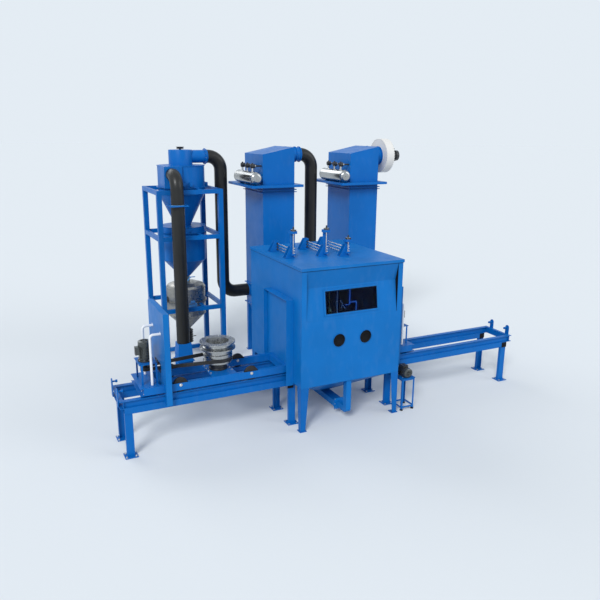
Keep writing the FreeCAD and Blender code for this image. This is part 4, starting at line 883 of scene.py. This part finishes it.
def drive_details(side):
    """Vertical gear motor: fins, cowl, flange bolts and the pulley's cheeks."""
    low, high = span(side + "_drive_motor")
    flange_radius = 92.0
    x = high.x - flange_radius if side == "left" else low.x + flange_radius
    y = middle(side + "_drive_motor").y
    outwards = -1 if side == "left" else 1
    table_z = 1175.0
    foot = at(x, y, table_z)
    lid_x = x + outwards * (75 + 43.4)
    dress_motor(side + " drive motor", side + "_trolley", foot, UP, 75.0, 270.0, motor_grey, 52.0, 206.0,
                (at(lid_x, y, table_z + 148), (outwards, 0, 0)))
    work = Work()
    work.turned([(76, 22.2), (93, 22.2), (94, 20), (94, 2), (92.4, 0.4), (92.4, 21.8), (76, 21.8),
                 (76, 22.2)], foot, UP, 48)
    near, far = (lid_x - 9, lid_x + 1) if outwards < 0 else (lid_x - 1, lid_x + 9)
    work.bar((near, y - 34, table_z + 92), (far, y + 34, table_z + 205), 2.0)
    work.done(side + " motor flange ring and lid", motor_black, side + "_trolley", 35)
    hex_bolts(side + " motor flange bolts",
              [(p, UP) for p in circle(at(x, y, table_z + 22.4), UP, 84, 8, math.radians(22.5))],
              side + "_trolley", 5.5, zinc, 5.0)
    work = Work()
    for z in (1045.2, 1104.6):
        work.turned([(20, z), (71.5, z), (72.5, z + 1.2), (71.5, z + 2.4), (20, z + 2.4), (20, z)],
                    at(x, y, 0), UP, 48)
    work.done(side + " pulley cheeks", black_steel, side + "_trolley", 35)


def door_details(side):
    """Rubber seal on the closing face, the belt slot's frame and screws, the handles' weld rings."""
    low, high = span(side + "_door_panel")
    outer = low.x if side == "left" else high.x
    out = -1 if side == "left" else 1
    closing = outer - out * 75.0
    strip = 10.0
    near, far = sorted((closing, closing - out * 3.5))
    work = Work()
    for y in (low.y, high.y - strip):
        work.bar((near, y, low.z + 180), (far, y + strip, high.z), 1.0)
    work.bar((near, low.y + strip, high.z - strip), (far, high.y - strip, high.z), 1.0)
    work.done(side + " door seal", seal_rubber, side + "_trolley")
    centre = (low.y + high.y) / 2
    slot_foot, slot_head = 1030.0, 1120.0
    half_slot = 135.0
    near, far = sorted((outer, outer + out * 3))
    work = Work()
    for z in (slot_head, slot_foot - 20):
        work.bar((near, centre - half_slot - 18, z), (far, centre + half_slot + 18, z + 20), 0.8)
    for y in (centre - half_slot - 18, centre + half_slot):
        work.bar((near, y, slot_foot), (far, y + 18, slot_head), 0.8)
    work.done(side + " belt slot frame", seal_rubber, side + "_trolley")
    hex_bolts(side + " belt slot screws",
              [(at(outer + out * 3, centre + dy, z), (out, 0, 0)) for z in (slot_foot - 10, slot_head + 10)
               for dy in (-130, -45, 45, 130)],
              side + "_trolley", 4.0, zinc, 3.0)
    work = Work()
    for y in (centre - 212, centre + 212):
        work.turned([(17.5, 0.2), (21, 0.4), (20, 2.5), (17.5, 4), (17.5, 0.2)], at(outer, y, 1577),
                    (out, 0, 0), 32)
    work.done(side + " handle weld rings", handle_white, side + "_trolley", 35)


for side in sides:
    wheel_bolts(side)
    turntable_details(side)
    drive_details(side)
    door_details(side)


# Gun positioners.

gun_places = ((150.0, 700.0, 350.0), (645.0, 645.0, 350.0), (945.0, 540.0, 210.0))
gun_rear = 1250.0
bracket_depth = 85.0
roof_top = roof_high.z


def gun_details():
    """Rod bosses, bolts and nuts, and each handwheel's rim, knob and grips."""
    bosses, bolts, dots, nuts = [], [], [], []
    for number, (x, y, column) in enumerate(gun_places, 1):
        rod_x = x + 75 - 6 - 16
        for front in (y, gun_rear):
            for i in range(3):
                z = roof_top + 36 + i * 42
                if front != y:
                    bosses.append((at(rod_x, front, z), FRONT))
                bosses.append((at(rod_x, front + bracket_depth, z), BACK))
            for dx in (-58, 52):
                bolts.append((at(x + dx, front + bracket_depth / 2, roof_top + 6), UP))
        column_x = x + 75 - 31
        column_top = roof_top + column + 38
        dots += [(at(column_x + 23, y - 6, roof_top + 34 + i * 36), FRONT) for i in range(4)]
        nuts.append((at(column_x, y - 20, column_top - 1.5), UP))
        body = "gun_%d_screw" % number
        sx, sy, _ = middle("gun_screw_%d" % number)
        wheel_z = column_top + 0.3
        work = Work()
        work.turned([(33.2, 3), (36, 3), (39, 6), (40, 12), (39, 18), (36, 21), (33.2, 21), (33.2, 3)],
                    at(sx, sy, wheel_z), UP, 40)
        work.turned([(8.3, 24), (14, 24.2), (15, 30), (11, 40), (10, 52), (13, 58), (12, 60), (0, 60)],
                    at(sx, sy, wheel_z), UP, 24)
        work.done("gun %d handwheel rim and knob" % number, black_steel, body, 35)
        centre = at(sx, sy, wheel_z + 12)
        grips = [(place, (place - centre).normalized(), UP) for place in circle(centre, UP, 38.5, 16)]
        fins("gun %d handwheel grips" % number, grips, body, 12.0, 6.0, 3.0, black_steel)
    hex_bolts("gun rod bosses", bosses, "plant", 12.0, black_steel, 14.0, 16.0, 20)
    hex_bolts("gun bracket bolts", bolts, "plant", 6.0, black_steel, 5.0)
    hex_bolts("gun slide bolts", dots, "plant", 6.0, handle_white, 5.0)
    hex_bolts("gun screw nuts", nuts, "plant", 13.0, zinc, 0.6, 16.0)


gun_details()


# Dust collectors.


def collector_details(side):
    """Bolts along the bands, fold and welds at the head plate, and the dust drawer's front."""
    body_low, body_high = span(side + "_collector_body")
    plate_top = 3195.0
    plate_foot = 3155.0
    band = 30.0
    column_low = Vector((body_low.x + band, body_low.y + band, 950))
    column_high = Vector((body_high.x - band, body_high.y - band, plate_foot))
    points = []
    for z in (1344.0, 964.0):
        for y in (body_low.y + 14, body_high.y - 14):
            points += row(at(column_low.x + 20, y, z), at(column_high.x - 20, y, z), 7)
        for x in (body_low.x + 14, body_high.x - 14):
            points += row(at(x, column_low.y + 60, z), at(x, column_high.y - 60, z), 8)
    hex_bolts(side + " collector band bolts", [(p, UP) for p in points], "plant", 6.0, zinc, 5.0)
    work = Work()
    x0, x1, y0, y1 = column_low.x, column_high.x, column_low.y, column_high.y
    fold = 34.0
    for low, high in (((x0 - fold, y0 - fold), (x1 + fold, y0 + 1)),
                      ((x0 - fold, y1 - 1), (x1 + fold, y1 + fold)),
                      ((x0 - fold, y0), (x0 + 1, y1)), ((x1 - 1, y0), (x1 + fold, y1))):
        work.bar((*low, plate_foot - 98), (*high, plate_foot - 88), 1.5)
    work.done(side + " collector lower fold", vessel_blue, "plant")
    runs = [(at(x0, y, z), at(x1, y, z)) for y in (y0 - 1, y1 + 1) for z in (plate_foot - 3, plate_top + 2)]
    welds(side + " collector welds", runs, "plant", vessel_blue, 4.0)
    work = Work()
    x = (x0 + x1) / 2
    front = y0 + 247.5
    work.bar((x - 156, front - 8, 150), (x + 156, front + 1, 400), 3.0)
    work.bar((x - 60, front - 30, 268), (x + 60, front - 24, 282), 2.0)
    for dx in (-60, 54):
        work.bar((x + dx, front - 30, 268), (x + dx + 6, front - 6, 282), 1.0)
    work.done(side + " dust drawer front", vessel_blue, "plant")


def tank_details(side):
    """Weld seams and end port on the air tank, and a body and its unions on each pulse valve."""
    radius = 105.0
    tank_x = span(side + "_collector_head")[0].x + 265.0 - 62.0 - radius
    tank_y = middle(side + "_collector_head").y - 130.0
    tank_z = 3312.0
    reach = 440.0
    top = tank_z + radius + 90
    work = Work()
    for y in (-reach + 62, reach - 70):
        work.seam(radius, at(tank_x, tank_y + y, tank_z), BACK, 1.5, 2.2, 56)
    work.turned([(0, 6), (13, 6), (13, -1), (20, -1), (20, -10), (0, -10)],
                at(tank_x, tank_y - reach, tank_z), FRONT, 24)
    work.done(side + " tank seams and end port", stainless, "plant", 35)
    coils = Work()
    leads = Work()
    for i in (-1, 0, 1):
        y = tank_y + i * 230.0
        coils.turned([(0, -32), (20, -32), (37.5, -24), (37.5, -10), (39, -8), (39, 0), (37.5, 2), (37.5, 26),
                      (39, 28), (39, 36), (26, 39), (0, 39)], at(tank_x, y, top), RIGHT, 28)
        coils.turned([(0, 30), (13, 30), (13, 50), (10, 54), (0, 55)], at(tank_x, y, top), UP, 18)
        leads.turned([(15.5, 42), (21, 42), (21, 58), (15.5, 58), (15.5, 42)], at(tank_x, y, top), RIGHT, 24)
        leads.turned([(14.3, -34), (16, -34), (16, -88), (23, -90), (23, -98), (14.3, -98), (14.3, -34)],
                     at(tank_x, y, top), UP, 24)
    coils.done(side + " pulse valve bodies", black_steel, "plant", 35)
    leads.done(side + " pulse valve unions", zinc, "plant", 35)


for side in sides:
    collector_details(side)
    tank_details(side)


def fan_details():
    """Motor dress, the casing's lugs, ring and bolts, and the blue inlet collar of the exhaust fan."""
    low, high = span("fan_motor")
    _, y, z = middle("fan_motor")
    foot = at(low.x, y, z)
    radius = (high.z - low.z) / 2
    length = high.x - low.x
    dress_motor("fan motor", "plant", foot, RIGHT, radius, length, motor_black, 34.0, length - 62.0,
                (at(low.x + 120, y, z + radius + 46), UP))
    work = Work()
    work.bar((low.x + 70, y - 44, z + radius - 12), (low.x + 170, y + 44, z + radius + 44), 4.0)
    work.bar((low.x + 66, y - 48, z + radius + 40), (low.x + 174, y + 48, z + radius + 46), 2.0)
    for dy in (-70, 38):
        work.bar((low.x + 40, y + dy, z - radius - 12), (low.x + 190, y + dy + 32, z - radius + 26), 3.0)
    work.done("fan motor box and feet", motor_black, "plant", 35)
    disc_near = low.x - 165.0
    rim = 315.0
    teeth = []
    for x in (disc_near + 2.5, low.x - 2.5):
        centre = at(x, y, z)
        teeth += [(p, (p - centre).normalized(), RIGHT) for p in circle(centre, RIGHT, rim - 12.5, 44)]
    fins("fan casing lugs", teeth, "plant", 11.0, 18.0, 12.0, fan_cream)
    work = Work()
    work.turned([(176, 0), (150.5, 0), (150.5, -6), (170, -6), (176, -3), (176, 0)], at(disc_near, y, z),
                RIGHT, 56)
    work.done("fan casing ring", fan_cream, "plant", 35)
    hex_bolts("fan casing bolts", [(p, RIGHT) for p in circle(at(low.x, y, z), RIGHT, 128, 8)]
              + [(p, RIGHT) for p in circle(at(low.x, y, z), RIGHT, 292, 16)], "plant", 6.0, zinc, 5.0)
    work = Work()
    collar = 150.0
    collar_foot = disc_near - 258.0
    work.turned([(collar + 0.4, 2), (collar + 32, 2), (collar + 34, 5), (collar + 34, 12), (collar + 2, 14),
                 (collar + 2, 238), (collar + 26, 240), (collar + 26, 252), (collar + 0.4, 252),
                 (collar + 0.4, 2)], at(collar_foot, y, z), RIGHT, 64)
    work.done("fan inlet collar sleeve", vessel_blue, "plant", 35)


fan_details()


# Abrasive tower.

head_box_low, head_box_high = span("cyclone_head")
spout_x = head_box_high.x
outlet_z = 3652.0
tower_x = -598.0
tower_y = 3500.0


def cyclone_head():
    """Round head drum with its outlet spout, flange and damper hub, in place of the plain box."""
    foot = head_box_low.z
    tall = head_box_high.z - 22 - foot
    drum = 200.0
    work = Work()
    work.turned([(drum - 4, 0), (drum, 0), (drum, tall - 8), (drum - 3, tall - 2), (drum - 9, tall),
                 (0, tall), (0, tall - 5), (drum - 4, tall - 5), (drum - 4, 0)],
                at(tower_x, tower_y, foot), UP, 96)
    work.turned([(16, 0), (16, 20), (14, 22), (0, 22)], at(tower_x, tower_y, foot + tall - 0.5), UP, 32)
    reach = spout_x - tower_x
    work.turned([(105, 150), (108, 150), (108, reach - 14), (136, reach - 14), (136, reach), (105, reach),
                 (105, 150)], at(tower_x, tower_y, outlet_z), RIGHT, 72)
    work.turned([(drum - 1, -4), (drum + 3, -3), (drum + 5, 0), (drum + 3, 4), (drum - 1, 6), (drum - 1, -4)],
                at(tower_x, tower_y, foot + 4), UP, 96)
    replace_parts(work.done("cyclone head drum", vessel_blue, "plant", 35), "cyclone_head")


cyclone_head()


def tower_details():
    """Small lugs by the beams, vessel seams, flange bolts and the handwheel's dish."""
    work = Work()
    for x0, x1, y0, y1, z0, z1 in ((-101, -49, -450, -384, 3180, 3240), (17, 69, -450, -384, 3180, 3240),
                                   (16, 62, -392, -340, 2376, 2424), (380, 440, -90, -30, 3150, 3220),
                                   (380, 440, 30, 90, 3150, 3220)):
        work.bar((tower_x + x0, tower_y + y0, z0), (tower_x + x1, tower_y + y1, z1), 2.0)
    work.done("cyclone lugs", frame_blue, "plant")
    work = Work()
    for radius, z in ((395.0, 3036.0), (119.0, 2496.0), (380.0, 1906.0)):
        work.turned([(radius - 1, -5), (radius + 2.5, -3), (radius + 3.2, 0), (radius + 2.5, 3),
                     (radius - 1, 5), (radius - 1, -5)], at(tower_x, tower_y, z), UP, 72)
    work.turned([(396, 0.3), (405, 0.3), (406, 3), (405, 6.5), (200, 6.5), (200, 5.2), (396, 5.2),
                 (396, 0.3)], at(tower_x, tower_y, span("cyclone")[0].z + 1035.5), UP, 96)
    work.done("vessel seams", vessel_blue, "plant", 50)
    flange = at(spout_x - 14, tower_y, outlet_z)
    hex_bolts("outlet flange bolts", [(p, LEFT) for p in circle(flange, LEFT, 124, 10)], "plant", 5.5,
              zinc, 5.0)
    work = Work()
    work.turned([(14.5, 2), (20, 2), (24, 10), (52, 26), (66, 36), (66, 44), (60, 44), (48, 34), (20, 20),
                 (12, 20), (10, 30), (0, 31), (0, 12), (14.5, 12), (14.5, 2)],
                at(tower_x, tower_y, head_box_high.z - 18), UP, 48)
    work.done("damper wheel dish", black_steel, "damper", 35)


tower_details()


def pot_details():
    """Weld seams, lug plate, lever and hand port on the brushed pot, and the valve stack below it."""
    radius = 342.0
    work = Work()
    for z in (1392, 906):
        work.seam(radius, at(tower_x, tower_y, z), UP)
    work.done("pot weld seams", dull_stainless, "plant", 50)
    work = Work()
    work.bar((tower_x - 46, tower_y - radius - 26, 1096), (tower_x + 92, tower_y - radius + 20, 1160), 3.0)
    work.bar((tower_x - 16, tower_y - radius - 18, 1158), (tower_x + 62, tower_y - radius + 20, 1204), 3.0)
    work.turned([(0, 0), (9, 0), (9, 100), (14, 104), (14, 124), (0, 128)],
                at(tower_x + 10, tower_y - 60, 1478), (0.5, -0.5, 1.0), 20)
    work.bar((tower_x + 34, tower_y - 110, 1566), (tower_x + 150, tower_y - 94, 1580), 2.0)
    work.done("pot lug plate and lever", trim_blue, "plant")
    work = Work()
    work.turned([(0, -40), (46, -40), (46, 20), (60, 20), (62, 24), (60, 34), (0, 34)],
                at(tower_x - 322, tower_y - 6, 1185), LEFT, 36)
    work.done("pot hand port", black_steel, "plant", 35)
    work = Work()
    profile = [(49, 0), (70, 0)]
    for step in range(6):
        z = 8 + step * 42
        profile += [(96, z), (102, z + 5), (102, z + 15), (96, z + 20), (74, z + 24), (74, z + 36)]
    profile += [(70, 256), (49, 256), (49, 0)]
    work.turned(profile, at(tower_x, tower_y, 345), UP, 48)
    work.done("pot valve stack", black_steel, "plant", 35)


pot_details()


def duct_details():
    """Clamp rings and cuffs where the ducts meet their flanges, and the pale duct flange's bolts."""
    neck_y, neck_z = 3217.5, 3682.0
    duct = 112.0
    work = Work()
    work.turned([(duct + 0.3, 2), (duct + 6, 2), (duct + 7, 8), (duct + 6, 26), (duct + 0.3, 26),
                 (duct + 0.3, 2)], at(spout_x, tower_y, outlet_z), RIGHT, 56)
    neck_end = span("left_collector_head")[0].x + 265 + 592 + 235
    for x in (neck_end - 48, neck_end + 34):
        work.turned([(duct + 0.3, 0), (duct + 24, 0), (duct + 25, 2), (duct + 25, 14), (duct + 24, 16),
                     (duct + 0.3, 16), (duct + 0.3, 0)], at(x, neck_y, neck_z), RIGHT, 56)
    work.turned([(duct + 0.3, 0), (duct + 10, 0), (duct + 10, 36), (duct + 0.3, 36), (duct + 0.3, 0)],
                at(neck_end - 1, neck_y, neck_z), RIGHT, 56)
    for side in sides:
        y = tower_y if side == "left" else middle("right_collector_body").y
        work.turned([(duct + 0.3, 1), (duct + 24, 1), (duct + 25, 3), (duct + 24, 12), (duct + 6, 14),
                     (duct + 5, 40), (duct + 0.3, 41), (duct + 0.3, 1)],
                    at(span(side + "_collector_body")[0].x + 30, y, 1215), LEFT, 56)
    work.done("duct clamp rings", vessel_blue, "plant", 35)
    x, y, plate = -868.0, 2800.0, 2915.0
    reach = (-128.0, 0.0, 128.0)
    hex_bolts("duct flange bolts", [(at(x + dx, y + dy, plate), UP) for dx in reach for dy in reach
                                    if dx or dy], "plant", 5.0, trim_blue, 3.0)
    work = Work()
    work.turned([(105.4, 1), (110, 1), (110, 3), (107, 6), (105.4, 6), (105.4, 1)], at(x, y, plate), UP, 48)
    work.done("duct flange collar", trim_blue, "plant", 35)


duct_details()


# Motor stand.


def stand_details():
    """Fins and cowl of the small motor beside the cabinet, its foot bolts, and the stand's foot pads."""
    low, high = span("stand_motor")
    x = middle("stand_motor").x
    table_z = 508.0
    z = table_z + 64.0 + 12.0
    length = high.y - low.y
    dress_motor("stand motor", "plant", at(x, high.y, z), FRONT, 64.0, length, motor_grey, 26.0,
                length - 50.0, (at(x - 5, 135, z + 98), UP))
    work = Work()
    for pad_x in (1703, 1897):
        for pad_y in (13, 232):
            work.turned([(0, 0), (24, 0), (24, 8), (21, 14), (19, 24), (0, 24)],
                        at(pad_x, pad_y, 0.3), UP, 24)
    work.done("stand foot pads", seal_rubber, "plant", 35)
    hex_bolts("stand motor foot bolts", [(at(x + dx, y, table_z), UP) for dx in (-62, 62) for y in (65, 180)],
              "plant", 7.0, zinc, 6.0)


stand_details()


# Camera, floor and light.


def look():
    """Camera where the photograph was taken from, with its lens."""
    photo_width = 600.0
    focal = 631.6
    yaw = 0.45281
    pitch = 0.26209
    roll = 0.00742
    ahead = Vector((math.sin(yaw) * math.cos(pitch), math.cos(yaw) * math.cos(pitch), -math.sin(pitch)))
    right = Vector((math.cos(yaw), -math.sin(yaw), 0.0))
    up = right.cross(ahead)
    rolled_right = right * math.cos(roll) + up * math.sin(roll)
    rolled_up = up * math.cos(roll) - right * math.sin(roll)
    data = bpy.data.cameras.new("photo camera")
    data.sensor_width = 36.0
    data.sensor_fit = "HORIZONTAL"
    data.lens = focal / photo_width * data.sensor_width
    data.clip_end = 200.0
    camera = bpy.data.objects.new("photo camera", data)
    turn = Matrix((rolled_right, rolled_up, -ahead)).transposed().to_4x4()
    camera.matrix_world = Matrix.Translation(at(-3554.9, -7254.2, 4091.8)) @ turn
    bpy.context.scene.collection.objects.link(camera)
    bpy.context.scene.camera = camera


def studio():
    """Pale floor that keeps the plant's shadow, a world of the same tone, and three soft lamps."""
    backdrop = (0.776, 0.842, 0.905)
    scene = bpy.context.scene
    scene.view_settings.view_transform = "Standard"
    bpy.ops.mesh.primitive_plane_add(size=400.0, location=(0, 0, -0.001))
    floor = bpy.context.object
    floor.name = "floor"
    material = bpy.data.materials.new("pale floor")
    material.use_nodes = True
    shader = material.node_tree.nodes["Principled BSDF"]
    shader.inputs["Base Color"].default_value = (0.695, 0.731, 0.754, 1)
    shader.inputs["Roughness"].default_value = 1.0
    shader.inputs["Specular IOR Level"].default_value = 0.0
    floor.data.materials.append(material)

    world = bpy.data.worlds.new("studio")
    scene.world = world
    world.use_nodes = True
    tree = world.node_tree
    tree.nodes.clear()
    out = tree.nodes.new("ShaderNodeOutputWorld")
    lit = tree.nodes.new("ShaderNodeBackground")
    lit.inputs["Color"].default_value = (0.86, 0.92, 1.0, 1)
    lit.inputs["Strength"].default_value = 0.60
    seen = tree.nodes.new("ShaderNodeBackground")
    seen.inputs["Color"].default_value = (*backdrop, 1)
    rays = tree.nodes.new("ShaderNodeLightPath")
    mix = tree.nodes.new("ShaderNodeMixShader")
    bright = tree.nodes.new("ShaderNodeMath")
    bright.operation = "MAXIMUM"
    tree.links.new(rays.outputs["Is Camera Ray"], bright.inputs[0])
    tree.links.new(rays.outputs["Is Glossy Ray"], bright.inputs[1])
    tree.links.new(bright.outputs[0], mix.inputs[0])
    tree.links.new(lit.outputs[0], mix.inputs[1])
    tree.links.new(seen.outputs[0], mix.inputs[2])
    tree.links.new(mix.outputs[0], out.inputs[0])

    def lamp(name, heading, strength, softness):
        data = bpy.data.lights.new(name, "SUN")
        data.energy = strength
        data.angle = softness
        lamp_object = bpy.data.objects.new(name, data)
        lamp_object.rotation_euler = Vector(heading).to_track_quat("-Z", "Y").to_euler()
        scene.collection.objects.link(lamp_object)

    lamp("key lamp", (7.6, 8.2, -8.4), 2.1, 0.35)
    lamp("fill lamp", (-8.5, 7.0, -4.5), 0.6, 0.6)
    lamp("back lamp", (3.0, -9.0, -6.5), 0.7, 0.6)


look()
studio()
